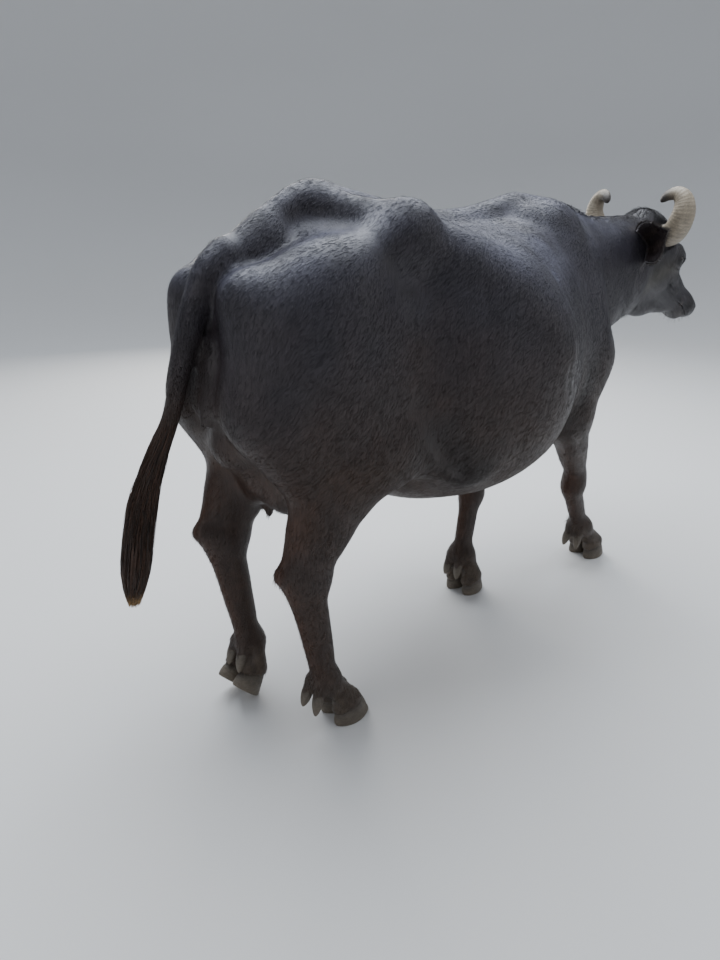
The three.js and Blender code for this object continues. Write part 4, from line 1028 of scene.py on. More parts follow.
def hide_material():
    m, nt, b = new_material('hide')
    L = nt.links
    at_ = node(nt, 'ShaderNodeAttribute', attribute_name='tone')
    # fine streaks of short hair, running down the sides
    streak = node(nt, 'ShaderNodeTexNoise', inputs={'Scale': 1.0, 'Detail': 3.0, 'Roughness': 0.6})
    L.new(scaled_coords(nt, (300, 300, 34), (0.0, 0.32, 0.0)), streak.inputs['Vector'])
    streak2 = node(nt, 'ShaderNodeTexNoise', inputs={'Scale': 1.0, 'Detail': 2.0, 'Roughness': 0.5})
    L.new(scaled_coords(nt, (120, 120, 16), (0.0, 0.32, 0.0)), streak2.inputs['Vector'])
    # skin grain: small plates and pores
    cells = node(nt, 'ShaderNodeTexVoronoi', feature='DISTANCE_TO_EDGE', inputs={'Scale': 210.0, 'Randomness': 1.0})
    L.new(scaled_coords(nt, (1, 1, 1)), cells.inputs['Vector'])
    cells2 = node(nt, 'ShaderNodeTexVoronoi', feature='DISTANCE_TO_EDGE', inputs={'Scale': 72.0, 'Randomness': 1.0})
    L.new(scaled_coords(nt, (1, 1, 0.8)), cells2.inputs['Vector'])
    mott = node(nt, 'ShaderNodeTexNoise', inputs={'Scale': 22.0, 'Detail': 4.0, 'Roughness': 0.65})
    L.new(scaled_coords(nt, (1, 1, 1)), mott.inputs['Vector'])
    # colour: tone, lifted and lowered by the streaks and mottle
    r1 = node(nt, 'ShaderNodeMapRange', inputs={'From Min': 0.3, 'From Max': 0.7, 'To Min': 0.78, 'To Max': 1.30})
    L.new(streak.outputs['Fac'], r1.inputs['Value'])
    r2 = node(nt, 'ShaderNodeMapRange', inputs={'From Min': 0.3, 'From Max': 0.7, 'To Min': 0.84, 'To Max': 1.18})
    L.new(mott.outputs['Fac'], r2.inputs['Value'])
    mul = node(nt, 'ShaderNodeMath', operation='MULTIPLY')
    L.new(r1.outputs[0], mul.inputs[0])
    L.new(r2.outputs[0], mul.inputs[1])
    vm = node(nt, 'ShaderNodeVectorMath', operation='SCALE')
    L.new(at_.outputs['Color'], vm.inputs[0])
    L.new(mul.outputs[0], vm.inputs['Scale'])
    L.new(vm.outputs[0], b.inputs['Base Color'])
    # roughness
    r3 = node(nt, 'ShaderNodeMapRange', inputs={'From Min': 0.3, 'From Max': 0.7, 'To Min': 0.36, 'To Max': 0.50})
    L.new(streak2.outputs['Fac'], r3.inputs['Value'])
    L.new(r3.outputs[0], b.inputs['Roughness'])
    # bump
    sq = node(nt, 'ShaderNodeMapRange', inputs={'From Min': 0.0, 'From Max': 0.12, 'To Min': 0.0, 'To Max': 1.0})
    L.new(cells.outputs['Distance'], sq.inputs['Value'])
    sq2 = node(nt, 'ShaderNodeMapRange', inputs={'From Min': 0.0, 'From Max': 0.10, 'To Min': 0.0, 'To Max': 1.0})
    L.new(cells2.outputs['Distance'], sq2.inputs['Value'])
    b1 = node(nt, 'ShaderNodeBump', inputs={'Strength': 0.55, 'Distance': 0.0016})
    L.new(streak2.outputs['Fac'], b1.inputs['Height'])
    b2 = node(nt, 'ShaderNodeBump', inputs={'Strength': 0.5, 'Distance': 0.0008})
    L.new(streak.outputs['Fac'], b2.inputs['Height'])
    L.new(b1.outputs[0], b2.inputs['Normal'])
    b3 = node(nt, 'ShaderNodeBump', inputs={'Strength': 0.28, 'Distance': 0.0006})
    L.new(sq.outputs[0], b3.inputs['Height'])
    L.new(b2.outputs[0], b3.inputs['Normal'])
    b4 = node(nt, 'ShaderNodeBump', inputs={'Strength': 0.16, 'Distance': 0.0010})
    L.new(sq2.outputs[0], b4.inputs['Height'])
    L.new(b3.outputs[0], b4.inputs['Normal'])
    L.new(b4.outputs[0], b.inputs['Normal'])
    b.inputs['Specular IOR Level'].default_value = 0.36
    return m


def coat_material(name, rough=0.5, sheen=0.1):
    m, nt, b = new_material(name)
    at_ = node(nt, 'ShaderNodeAttribute', attribute_name='tone')
    n = node(nt, 'ShaderNodeTexNoise', inputs={'Scale': 1.0, 'Detail': 2.0})
    nt.links.new(scaled_coords(nt, (420, 420, 120)), n.inputs['Vector'])
    r = node(nt, 'ShaderNodeMapRange', inputs={'From Min': 0.3, 'From Max': 0.7, 'To Min': 0.75, 'To Max': 1.3})
    nt.links.new(n.outputs['Fac'], r.inputs['Value'])
    vm = node(nt, 'ShaderNodeVectorMath', operation='SCALE')
    nt.links.new(at_.outputs['Color'], vm.inputs[0])
    nt.links.new(r.outputs[0], vm.inputs['Scale'])
    nt.links.new(vm.outputs[0], b.inputs['Base Color'])
    b.inputs['Roughness'].default_value = rough
    b.inputs['Specular IOR Level'].default_value = 0.34
    return m


def keratin_material(name, rough_lo, rough_hi, lines, bump):
    m, nt, b = new_material(name)
    L = nt.links
    at_ = node(nt, 'ShaderNodeAttribute', attribute_name='tone')
    n = node(nt, 'ShaderNodeTexNoise', inputs={'Scale': 1.0, 'Detail': 4.0, 'Roughness': 0.6})
    L.new(scaled_coords(nt, lines), n.inputs['Vector'])
    n2 = node(nt, 'ShaderNodeTexNoise', inputs={'Scale': 90.0, 'Detail': 3.0})
    L.new(scaled_coords(nt, (1, 1, 1)), n2.inputs['Vector'])
    r = node(nt, 'ShaderNodeMapRange', inputs={'From Min': 0.3, 'From Max': 0.7, 'To Min': 0.7, 'To Max': 1.25})
    L.new(n.outputs['Fac'], r.inputs['Value'])
    vm = node(nt, 'ShaderNodeVectorMath', operation='SCALE')
    L.new(at_.outputs['Color'], vm.inputs[0])
    L.new(r.outputs[0], vm.inputs['Scale'])
    L.new(vm.outputs[0], b.inputs['Base Color'])
    r3 = node(nt, 'ShaderNodeMapRange', inputs={'From Min': 0.3, 'From Max': 0.7, 'To Min': rough_lo, 'To Max': rough_hi})
    L.new(n2.outputs['Fac'], r3.inputs['Value'])
    L.new(r3.outputs[0], b.inputs['Roughness'])
    b1 = node(nt, 'ShaderNodeBump', inputs={'Strength': 0.5, 'Distance': bump})
    L.new(n.outputs['Fac'], b1.inputs['Height'])
    b2 = node(nt, 'ShaderNodeBump', inputs={'Strength': 0.3, 'Distance': bump * 0.6})
    L.new(n2.outputs['Fac'], b2.inputs['Height'])
    L.new(b1.outputs[0], b2.inputs['Normal'])
    L.new(b2.outputs[0], b.inputs['Normal'])
    return m


def settled(ob, slot, *replaced):
    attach(ob, 'root')
    if replaced:
        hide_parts(*replaced)


# ---- the skin ----
V_N = normals(V, T)
HIDE = hide_material()
skin = make_mesh('skin', V, T, tone(V, V_N))
skin.data.materials.append(HIDE)
FLESH = ['body_hind', 'body_barrel', 'body_shoulders', 'neck', 'head', 'ear_L', 'ear_R', 'tail'] + \
    ['leg_%s_%s_%s' % (a, b, c) for a in ('fore', 'hind') for b in 'LR' for c in ('upper', 'lower')]
settled(skin, 'hide', *FLESH)
say('skin made')


# ---- rings along a line ----
def loft_rings(rings):
    """rings: list of equal closed loops (n x 3); ends closed with a fan."""
    n = len(rings[0])
    V_ = np.concatenate(rings)
    m = len(rings)
    f = []
    j = np.arange(n)
    k = (j + 1) % n
    for i in range(m - 1):
        a, b, c, d = i * n + j, i * n + k, (i + 1) * n + k, (i + 1) * n + j
        f += [np.stack([a, b, c], 1), np.stack([a, c, d], 1)]
    c0, c1 = len(V_), len(V_) + 1
    V_ = np.concatenate([V_, rings[0].mean(0)[None], rings[-1].mean(0)[None]])
    f += [np.stack([np.full(n, c0), k, j], 1), np.stack([np.full(n, c1), (m - 1) * n + j, (m - 1) * n + k], 1)]
    T_ = np.concatenate(f)
    # facing out
    vol = np.einsum('ij,ij->i', V_[T_[:, 0]], np.cross(V_[T_[:, 1]], V_[T_[:, 2]])).sum()
    return V_, (T_ if vol > 0 else T_[:, ::-1])


def horn_mesh(s):
    line = [list(at(HORNF, p[:3])) + [p[3]] for p in sided(HORN, s)]
    m, n = ((150, 56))
    ts = np.linspace(0, len(line) - 1, m)
    P = np.array([spline(line, t) for t in ts])
    d = np.gradient(P[:, :3], axis=0)
    arc = np.concatenate([[0], np.cumsum(np.linalg.norm(np.diff(P[:, :3], axis=0), axis=1))])
    rings, cols = [], []
    up = np.array(HORNF[1][0])
    total = arc[-1]
    for i in range(m):
        ax = d[i] / np.linalg.norm(d[i])
        a = up - ax * (up @ ax)
        a /= np.linalg.norm(a)
        b = np.cross(ax, a)
        up = a
        q = np.linspace(0, 2 * pi, n, endpoint=False)
        r = P[i, 3]
        g = arc[i] / total
        # growth rings, close and deep at the base, fading out to the smooth tip
        phase = 2 * pi * (arc[i] / 10.5 + 0.35 * sin(arc[i] / 31.0))
        ring = (0.5 + 0.5 * cos(phase)) ** 2
        amp = 2.1 * (1 - g) ** 0.8 * min(1, g * 9 + 0.25)
        rough = 0.5 * np.sin(5 * q + arc[i] / 9.0) + 0.35 * np.sin(11 * q - arc[i] / 5.0)
        rr = r - amp * ring + rough * (1 - g) * 0.6
        # a little flattened, with a soft keel outside
        sec = 1 - 0.09 * np.sin(q) ** 2 + 0.035 * np.cos(2 * q + 0.6) + 0.03 * np.cos(3 * q)
        # rounded off at the point
        rr = rr * sqrt(max(0.002, 1 - (max(0.0, g - 0.95) / 0.05) ** 2))
        L_ = P[i, :3] + (rr * sec * np.cos(q))[:, None] * a + (rr * sec * np.sin(q))[:, None] * b
        rings.append(L_)
        base = np.array([0.150, 0.118, 0.085])
        mid = np.array([0.300, 0.255, 0.190])
        tip = np.array([0.050, 0.042, 0.038])
        c = base + (mid - base) * min(1, g * 2.2)
        k = smooth01(np.array([g]), 0.80, 0.95)[0]
        c = c + (tip - c) * k
        c = c * (1 - 0.32 * ring * (1 - g) ** 0.6)
        # dark stain at the root and along the inner side
        stain = 0.5 * hump(g, 0.16) + 0.42 * smooth01(np.sin(q + 0.9 * sin(arc[i] / 60.0)) + 0.35 * np.sin(3 * q + arc[i] / 17.0), 0.1, 0.9) * (1 - 0.6 * g) + 0.12 * np.sin(9 * q + arc[i] / 6.0) * (1 - g)
        stain = np.clip(stain, 0, 0.75)
        c = c[None, :] * (1 - stain[:, None])
        cols.append(c)
    V_, T_ = loft_rings(rings)
    C_ = np.concatenate(cols + [cols[0][:1], cols[-1][:1]])
    C_ = C_ * (0.85 + 0.3 * noise3(V_, 16, 5)[:, None])
    return V_, T_, C_


HORN_MAT = keratin_material('horn', 0.36, 0.56, (260, 260, 260), 0.0006)
for s, side in ((-1, 'R'), (1, 'L')):
    V_, T_, C_ = horn_mesh(s)
    o_ = make_mesh('horn_shell_' + side, V_, T_, C_)
    o_.data.materials.append(HORN_MAT)
    settled(o_, 'horn', 'horn_' + side)


# ---- eyes ----
def eye_material():
    m, nt, b = new_material('eye')
    at_ = node(nt, 'ShaderNodeAttribute', attribute_name='tone')
    n = node(nt, 'ShaderNodeTexNoise', inputs={'Scale': 900.0, 'Detail': 3.0})
    nt.links.new(scaled_coords(nt, (1, 1, 1)), n.inputs['Vector'])
    r = node(nt, 'ShaderNodeMapRange', inputs={'From Min': 0.3, 'From Max': 0.7, 'To Min': 0.7, 'To Max': 1.3})
    nt.links.new(n.outputs['Fac'], r.inputs['Value'])
    vm = node(nt, 'ShaderNodeVectorMath', operation='SCALE')
    nt.links.new(at_.outputs['Color'], vm.inputs[0])
    nt.links.new(r.outputs[0], vm.inputs['Scale'])
    nt.links.new(vm.outputs[0], b.inputs['Base Color'])
    b.inputs['Roughness'].default_value = 0.12
    b.inputs['Specular IOR Level'].default_value = 0.45
    b.inputs['Coat Weight'].default_value = 0.25
    b.inputs['Coat Roughness'].default_value = 0.03
    return m


EYE_MAT = eye_material()
for n_, E in enumerate(EYES):
    side = 'RL'[n_]
    m, n = ((64, 72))
    rings, cols = [], []
    o, A = np.array(E[0]), np.array(E[1])
    for i in range(1, m):
        a = pi * i / m
        q = np.linspace(0, 2 * pi, n, endpoint=False)
        x_ = cos(a)
        r = EYE_RADIUS + 1.1 * hump(a, 0.52)
        Y_, Z_ = np.cos(q) * sin(a), np.sin(q) * sin(a)
        L_ = o + r * (x_ * A[0] + Y_[:, None] * A[1] + Z_[:, None] * A[2])
        rings.append(L_)
        iris = 1 - smooth01(np.full(n, a), 0.66, 0.74)
        pup = 1 - smooth01(np.sqrt((Y_ / 0.42) ** 2 + (Z_ / 0.20) ** 2) + (0 if x_ > 0 else 9), 0.86, 1.04)
        c = np.tile(np.array([0.060, 0.040, 0.034]), (n, 1))
        c = lerp(c, np.array([0.016, 0.0075, 0.0042]), iris)
        c = lerp(c, np.array([0.006, 0.004, 0.003]), iris * hump(np.full(n, a) - 0.68, 0.06))
        c = lerp(c, np.array([0.002, 0.002, 0.003]), pup)
        cols.append(c)
    V_, T_ = loft_rings(rings)
    C_ = np.concatenate(cols + [cols[0][:1], cols[-1][:1]])
    o_ = make_mesh('eyeball_' + side, V_, T_, C_)
    o_.data.materials.append(EYE_MAT)
    settled(o_, 'eye', 'eye_' + side)


# ---- claws and dewclaws ----
CORONET = 0.36


def claw_mesh(F, c, w):
    L, W = CLAW_LENGTH, CLAW_WIDTH / 2
    rows = [[0, -0.445 * L, 0.515 * L, 0.90 * W], [2.5, -0.455 * L, 0.525 * L, 0.945 * W], [10, -0.47 * L, 0.522 * L, W],
            [34, -0.45 * L, 0.41 * L, W], [57, -0.40 * L, 0.28 * L, 0.93 * W], [66, -0.33 * L, 0.22 * L, 0.78 * W]]
    m, n = ((40, 56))
    rings, cols = [], []
    for i in range(m):
        t = (len(rows) - 1) * i / (m - 1)
        z0, back, front, half = spline(rows, t)
        q = np.linspace(0, 2 * pi, n, endpoint=False)
        u, v = np.cos(q), np.sin(q)
        x_ = np.where(u > 0, u * front, -u * back)
        nar = np.where(u > 0, 1 - 0.3 * u * u, 1 - 0.12 * u * u)
        y_ = c * w + half * v * nar - c * 3 * u
        blend_ = min(1, max(0, (z0 - 20) / 37.0))
        zz = z0 + blend_ * CORONET * x_
        # growth lines round the wall
        lines = 0.45 * np.sin(zz / 2.0 + 0.6 * np.sin(q)) * min(1, z0 / 8.0)
        y_ = y_ + lines * v
        x_ = x_ + lines * u
        y_ = np.where(y_ * c < 0.6, c * 0.6, y_)
        P_ = np.array([at(F, [a, b, d_]) for a, b, d_ in zip(x_, y_, zz)])
        P_[:, 2] = np.maximum(P_[:, 2], 0.0)
        rings.append(P_)
        h_ = min(1, z0 / 57.0)
        wall = np.array([0.040, 0.033, 0.029]) * (1 - 0.15 * np.sin(zz / 3.1))[:, None]
        dusty = np.clip(0.75 - h_ * 0.55 + 0.35 * (noise3(P_, 14, 3) - 0.5), 0, 1)
        cols.append(lerp(wall, DUST * 0.95, dusty * 0.75))
    V_, T_ = loft_rings(rings)
    C_ = np.concatenate(cols + [cols[0][:1], cols[-1][:1]])
    return V_, T_, C_


def dew_mesh(F, fet, c):
    o = np.array(vadd(fet, [-45, c * 23, -34]))
    ax = np.array(norm([-0.30, c * 0.10, -0.95]))
    a = np.array(norm(cross([1, 0, 0], ax)))
    b = np.cross(ax, a)
    m, n = ((18, 28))
    rings, cols = [], []
    prof = [[-14, 15], [0, 17], [14, 16], [30, 11.5], [40, 7], [45, 2.5]]
    for i in range(m):
        t_, r = spline(prof, (len(prof) - 1) * i / (m - 1))
        q = np.linspace(0, 2 * pi, n, endpoint=False)
        r = max(r, 0.8) + 0.35 * sin(t_ * 1.6)
        L_ = o + ax * t_ + (r * np.cos(q))[:, None] * a + (0.8 * r * np.sin(q))[:, None] * b
        rings.append(L_)
        cols.append(lerp(np.tile(np.array([0.042, 0.034, 0.029]), (n, 1)), DUST, np.full(n, 0.25 + 0.3 * max(0, t_) / 45)))
    V_, T_ = loft_rings(rings)
    return V_, T_, np.concatenate(cols + [cols[0][:1], cols[-1][:1]])


CLAW_MAT = keratin_material('claw', 0.5, 0.72, (160, 160, 420), 0.0005)
FEET = {'hind_R': (SOLE_RH, [-196, -148, 154], 31), 'hind_L': (SOLE_LH, [-260, 122, 178], 31),
        'fore_R': (SOLE_RF, [1192, -87, 160], 34), 'fore_L': (SOLE_LF, [664, 88, 150], 34)}
for key, (F_, fet, w_) in FEET.items():
    name, side = key.split('_')
    for c in (-1, 1):
        inner = 'inner' if (c > 0) == (side == 'R') else 'outer'
        for kind, (V_, T_, C_) in (('claw', claw_mesh(F_, c, w_)), ('dewclaw', dew_mesh(F_, fet, c))):
            cad = '%s_%s_%s_%s' % (kind, name, side, inner)
            o_ = make_mesh(cad + '_horn', V_, T_, C_)
            o_.data.materials.append(CLAW_MAT)
            settled(o_, 'claw', cad)
say('horns, eyes and claws made')



# ================= the coat: short tufts and long hair as solid mesh =================
RNG = np.random.default_rng(11)
TC = V[T].mean(1)
TN = np.cross(V[T[:, 1]] - V[T[:, 0]], V[T[:, 2]] - V[T[:, 0]])
TA = np.linalg.norm(TN, axis=1) / 2
TN = TN / (2 * TA[:, None] + 1e-12)


def unit(a):
    return a / (np.linalg.norm(a, axis=-1, keepdims=True) + 1e-9)


def unwrap(P):
    """A place on the flat map for each point of the skin: each region rolled out round its own axis."""
    x, y, z = P.T
    uv = np.zeros((len(P), 2))
    # trunk and neck, round the spine
    a = (np.arctan2(y, z - 980) / (2 * pi) + 0.5)
    uv[:, 0] = 0.01 + 0.70 * np.clip((x + 460) / 1900, 0, 1)
    uv[:, 1] = 0.51 + 0.48 * a
    # head
    hx, hy, hz = inside_frame(HEAD, x, y, z)
    k = (x > 1222) & (z > 820) & (hx > -30)
    b = np.arctan2(hy, hz + 100) / (2 * pi) + 0.5
    uv[k] = np.stack([0.73 + 0.26 * np.clip((hx + 40) / 600, 0, 1), 0.51 + 0.48 * b], 1)[k]
    # legs
    for i, (fore, s) in enumerate([(0, -1), (0, 1), (1, -1), (1, 1)]):
        k = (z < 640) & ((x > 400) == bool(fore)) & (y * s > 0) & (x > -420 - 60 * (s > 0))
        cx = np.interp(z, [0, 160, 400, 640], [-150, -196, -250, -200] if not fore else ([1290, 1190, 1070, 930] if s < 0 else [680, 664, 714, 780]))
        cy = s * (150 if not fore else 95)
        g = np.arctan2(y - cy, x - cx) / (2 * pi) + 0.5
        uv[k] = np.stack([0.01 + 0.24 * i + 0.22 * g, 0.01 + 0.40 * np.clip(z / 640, 0, 1)], 1)[k]
    # tail
    k = (x < -400) & (z > 330) & (near_line(P, TAIL) < 70) & (np.abs(y - np.interp(-z, [-1256, -907, -500, -360], [0, 60, 195, 216])) < 60)
    uv[k] = np.stack([0.01 + 0.24 * 3.98 + 0 * z, 0 * z], 1)[k] * 0 + np.stack([0.965 + 0.03 * (np.arctan2(y - np.interp(-z, [-1256, -907, -500, -360], [0, 60, 195, 216]), x + 470) / (2 * pi) + 0.5), 0.01 + 0.46 * np.clip((z - 300) / 1000, 0, 1)], 1)[k]
    return uv


def locks(paths, side, width, thick, colour, root_at, taper=1.4):
    """Closed three-sided tufts. paths n x (K+1) x 3; colour n x (K+1) x 3."""
    n, K1, _ = paths.shape
    K = K1 - 1
    tang = np.gradient(paths, axis=1)
    tang = unit(tang)
    verts, cols, uvs = [], [], []
    uv0 = unwrap(root_at)
    for k in range(K):
        f = k / K
        w = (width * (1 - f ** taper) + width * 0.04)[:, None]
        sd = unit(side - tang[:, k] * (side * tang[:, k]).sum(1)[:, None])
        up = np.cross(sd, tang[:, k])
        c = paths[:, k]
        verts += [c - sd * w / 2, c + sd * w / 2, c + up * w * thick]
        cols += [colour[:, k]] * 3
        uvs += [uv0 + [0.0024 * f, 0.0], uv0 + [0.0024 * f, 0.0024], uv0 + [0.0024 * f, 0.0012]]
    verts.append(paths[:, K])
    cols.append(colour[:, K])
    uvs.append(uv0 + [0.0028, 0.0012])
    m = 3 * K + 1
    Vv = np.stack(verts, 1).reshape(-1, 3)
    Cc = np.stack(cols, 1).reshape(-1, 3)
    Uu = np.stack(uvs, 1).reshape(-1, 2)
    f = [(0, 2, 1)]
    for k in range(K - 1):
        for j in range(3):
            a, b = 3 * k + j, 3 * k + (j + 1) % 3
            f += [(a, b, b + 3), (a, b + 3, a + 3)]
    for j in range(3):
        f.append((3 * (K - 1) + j, 3 * (K - 1) + (j + 1) % 3, 3 * K))
    f = np.array(f)
    Tt = (f[None] + (np.arange(n) * m)[:, None, None]).reshape(-1, 3)
    # make sure the tufts face out
    v0 = Vv[Tt[:len(f)]]
    if np.einsum('ij,ij->', v0[:, 0] - paths[0, 0], np.cross(v0[:, 1] - paths[0, 0], v0[:, 2] - paths[0, 0])) < 0:
        Tt = Tt[:, ::-1]
    return Vv, Tt, Cc, Uu


def tuft_paths(P, N, D, length, lift, K, droop=0.0, curl=0.0, sink=1.0):
    n = len(P)
    S = unit(np.cross(D, N))
    pos = P - N * sink
    out = [pos]
    lift = np.broadcast_to(lift, (n,))
    curl = np.broadcast_to(curl, (n,))
    for k in range(K):
        f = k / max(K - 1, 1)
        lf = lift * (1 - 0.95 * f)
        d = D * np.cos(lf)[:, None] + N * np.sin(lf)[:, None] + S * (curl * f)[:, None]
        d[:, 2] -= droop * f
        pos = pos + unit(d) * (length / K)[:, None]
        out.append(pos)
    return np.stack(out, 1), S


def scatter(density, count, rng=RNG):
    w = TA * density
    w = w / w.sum()
    t = rng.choice(len(T), count, p=w)
    a, b = rng.random(count), rng.random(count)
    k = a + b > 1
    a[k], b[k] = 1 - a[k], 1 - b[k]
    c = 1 - a - b
    P = V[T[t, 0]] * c[:, None] + V[T[t, 1]] * a[:, None] + V[T[t, 2]] * b[:, None]
    N = unit(V_N[T[t, 0]] * c[:, None] + V_N[T[t, 1]] * a[:, None] + V_N[T[t, 2]] * b[:, None])
    return P, N


def on_leaf(ex, ey, ez):
    """True on an ear's leaf."""
    t = np.clip((ex + 18) / (EAR_LENGTH + 18), 0, 1)
    half = EAR_WIDTH / 2 * (0.34 + 0.66 * np.sin(pi * np.minimum(1, t * 1.05) ** 0.8)) * (1 - 0.9 * t ** 5)
    u = np.clip(ey / np.maximum(half, 1), -1.1, 1.1)
    mid = -0.42 * half * (1 - 0.35 * t) * (1 - u * u) - (12.5 - 6.0 * t) * 0.62
    return (ex > 10) & (ex < EAR_LENGTH + 8) & (np.abs(ey) < half + 8) & (np.abs(ez - mid) < 19)


def lie_of(P, N):
    """Which way the short hair lies."""
    x, y, z = P.T
    D = np.tile(np.array([-0.75, 0.0, -0.75]), (len(P), 1))
    # along the top it runs straight back
    top = smooth01(N[:, 2], 0.3, 0.9)
    D = lerp(D, np.array([-1.0, 0.0, 0.0]), top)
    legs = 1 - smooth01(z, 520, 720)
    D = lerp(D, np.array([-0.22, 0.0, -1.0]), legs)
    # head: towards the poll
    hx, hy, hz = inside_frame(HEAD, x, y, z)
    head = smooth01(hx, -20, 40) * smooth01(x, 1400, 1460)
    D = lerp(D, -np.array(HEAD[1][0]) * 0.9 + np.array([0, 0, -0.3]), head)
    for F_ in EARS:
        ex, ey, ez = inside_frame(F_, x, y, z)
        k = on_leaf(ex, ey, ez)
        D[k] = np.array(F_[1][0])
    tl = (x < -395) & (near_line(P, TAIL) < 55)
    D[tl] = np.array([-0.1, 0.15, -1.0])
    D = D + 0.35 * np.stack([noise3(P, 90, 31) - 0.5, noise3(P, 90, 47) - 0.5, noise3(P, 90, 53) - 0.5], 1)
    D = D - N * (D * N).sum(1)[:, None]
    return unit(D)


def jitter(D, N, amount, rng=RNG):
    S = np.cross(D, N)
    return unit(D + S * (rng.normal(0, amount, len(D)))[:, None])


def coat_piece(name, parts, mat, *replaced, slot='hide'):
    Vs, Ts, Cs, Us, off = [], [], [], [], 0
    for a, b, c, d in parts:
        Vs.append(a)
        Ts.append(b + off)
        Cs.append(c)
        Us.append(d)
        off += len(a)
    V_, T_, C_, U_ = np.concatenate(Vs), np.concatenate(Ts), np.concatenate(Cs), np.concatenate(Us)
    # nothing under the floor
    V_[:, 2] = np.maximum(V_[:, 2], 0.2)
    o_ = make_mesh(name, V_, T_, np.clip(C_, 0.002, 1), True, U_)
    o_.data.materials.append(mat)
    settled(o_, slot, *replaced)
    say(name, len(T_))
    return o_


def short_coat(density, count, length, width, lift, K=1, bright=1.22, vary=0.17, sink=0.4, thick=0.13):
    P, N = scatter(density, count)
    D = jitter(lie_of(P, N), N, 0.16)
    L = length * RNG.uniform(0.7, 1.3, count)
    W = width * RNG.uniform(0.7, 1.3, count)
    paths, S = tuft_paths(P, N, D, L, np.radians(lift) * RNG.uniform(0.5, 1.5, count), K, 0, RNG.normal(0, 0.12, count), sink)
    c = tone(P, N) * (bright + RNG.normal(0, vary, count).clip(-0.5, 0.8))[:, None]
    ramp = np.linspace(0.95, 1.12, K + 1)
    col = c[:, None, :] * ramp[None, :, None]
    return locks(paths, S, W, thick, col, P)


COAT_MAT = coat_material('coat', 0.46, 0.08)
HAIR_MAT = coat_material('long_hair', 0.42, 0.12)
ONE = 1.0


def n_of(k):
    return int(k * ONE)


hxC, hyC, hzC = inside_frame(HEAD, TC[:, 0], TC[:, 1], TC[:, 2])
on_head = (TC[:, 0] > 1400) & (hxC > -20)
in_ear = np.zeros(len(T), bool)
for F_ in EARS:
    ex, ey, ez = inside_frame(F_, TC[:, 0], TC[:, 1], TC[:, 2])
    in_ear |= on_leaf(ex, ey, ez)
by_eye = np.zeros(len(T), bool)
for E in EYES:
    by_eye |= np.linalg.norm(TC - np.array(E[0]), axis=1) < 30
on_tail = (TC[:, 0] < -395) & (near_line(TC, TAIL) < 55) & (TC[:, 2] < 1180)
low = TC[:, 2] < 560
bare = (on_head & (hxC > 486)) | by_eye | (near_line(TC, [[-205, 0, 640], [-80, 0, 630]]) < 70)
in_horn = np.zeros(len(T), bool)
for s in (-1, 1):
    in_horn |= near_line(TC, [at(HORNF, p[:3]) for p in sided(HORN, s)[:3]]) < 46
trunk = ~on_head & ~in_ear & ~low & ~on_tail

dens = (trunk & ~bare) * 1.0
for i in range(4):
    coat_piece('coat_trunk_%d' % (i + 1), [short_coat(dens, n_of(46000), 19, 1.15, 3.4)], COAT_MAT)
legd = (low & ~bare & (TC[:, 2] > 62)) * 1.0
coat_piece('coat_legs', [short_coat(legd, n_of(33000), 13, 1.2, 6),
                         # longer hair over the coronets and behind the fetlocks
                         short_coat(((TC[:, 2] > 58) & (TC[:, 2] < 135) & low) * 1.0, n_of(2500), 18, 1.5, 6, 2),
                         short_coat((low & (TN[:, 0] < -0.55) & (TC[:, 2] > 130)) * 1.0, n_of(1600), 22, 1.5, 12, 2)], COAT_MAT)
headd = (on_head & ~in_ear & ~bare & ~in_horn) * 1.0
coat_piece('coat_head', [short_coat(headd, n_of(30000), 8.5, 0.9, 6), short_coat(in_ear * (TN[:, 2] > -2), n_of(7000), 9, 0.95, 8)], COAT_MAT)

# ---- crest of the neck, crown and brisket ----
parts = []
crest = (TC[:, 0] > 900) & (TC[:, 0] < 1500) & (np.abs(TC[:, 1] + 0.03 * (TC[:, 0] - 900)) < 46) & (TN[:, 2] > 0.25) & ~in_ear
P, N = scatter(crest * (1.2 - np.abs(TC[:, 1]) / 60).clip(0.05, 1) * (1 + 1.6 * hump(TC[:, 0] - 1010, 60)), n_of(2300))
D = unit(np.stack([np.full(len(P), -0.9), 0.9 * np.sign(P[:, 1] + 0.03 * (P[:, 0] - 900)) * RNG.random(len(P)), np.full(len(P), -0.1)], 1))
D = unit(D - N * (D * N).sum(1)[:, None])
L = 30 * RNG.uniform(0.6, 1.4, len(P)) * (1 + 0.35 * hump(P[:, 0] - 1010, 70))
paths, S = tuft_paths(P, N, D, L, np.radians(17) * RNG.uniform(0.3, 1.5, len(P)), 4, 0.5, RNG.normal(0, 0.3, len(P)))
c = (tone(P, N) * 0.35 + DARK * 0.6) * RNG.uniform(0.7, 1.4, len(P))[:, None]
parts.append(locks(paths, S, 1.9 * RNG.uniform(0.7, 1.3, len(P)), 0.4, c[:, None, :] * np.linspace(0.8, 1.3, 5)[None, :, None], P))
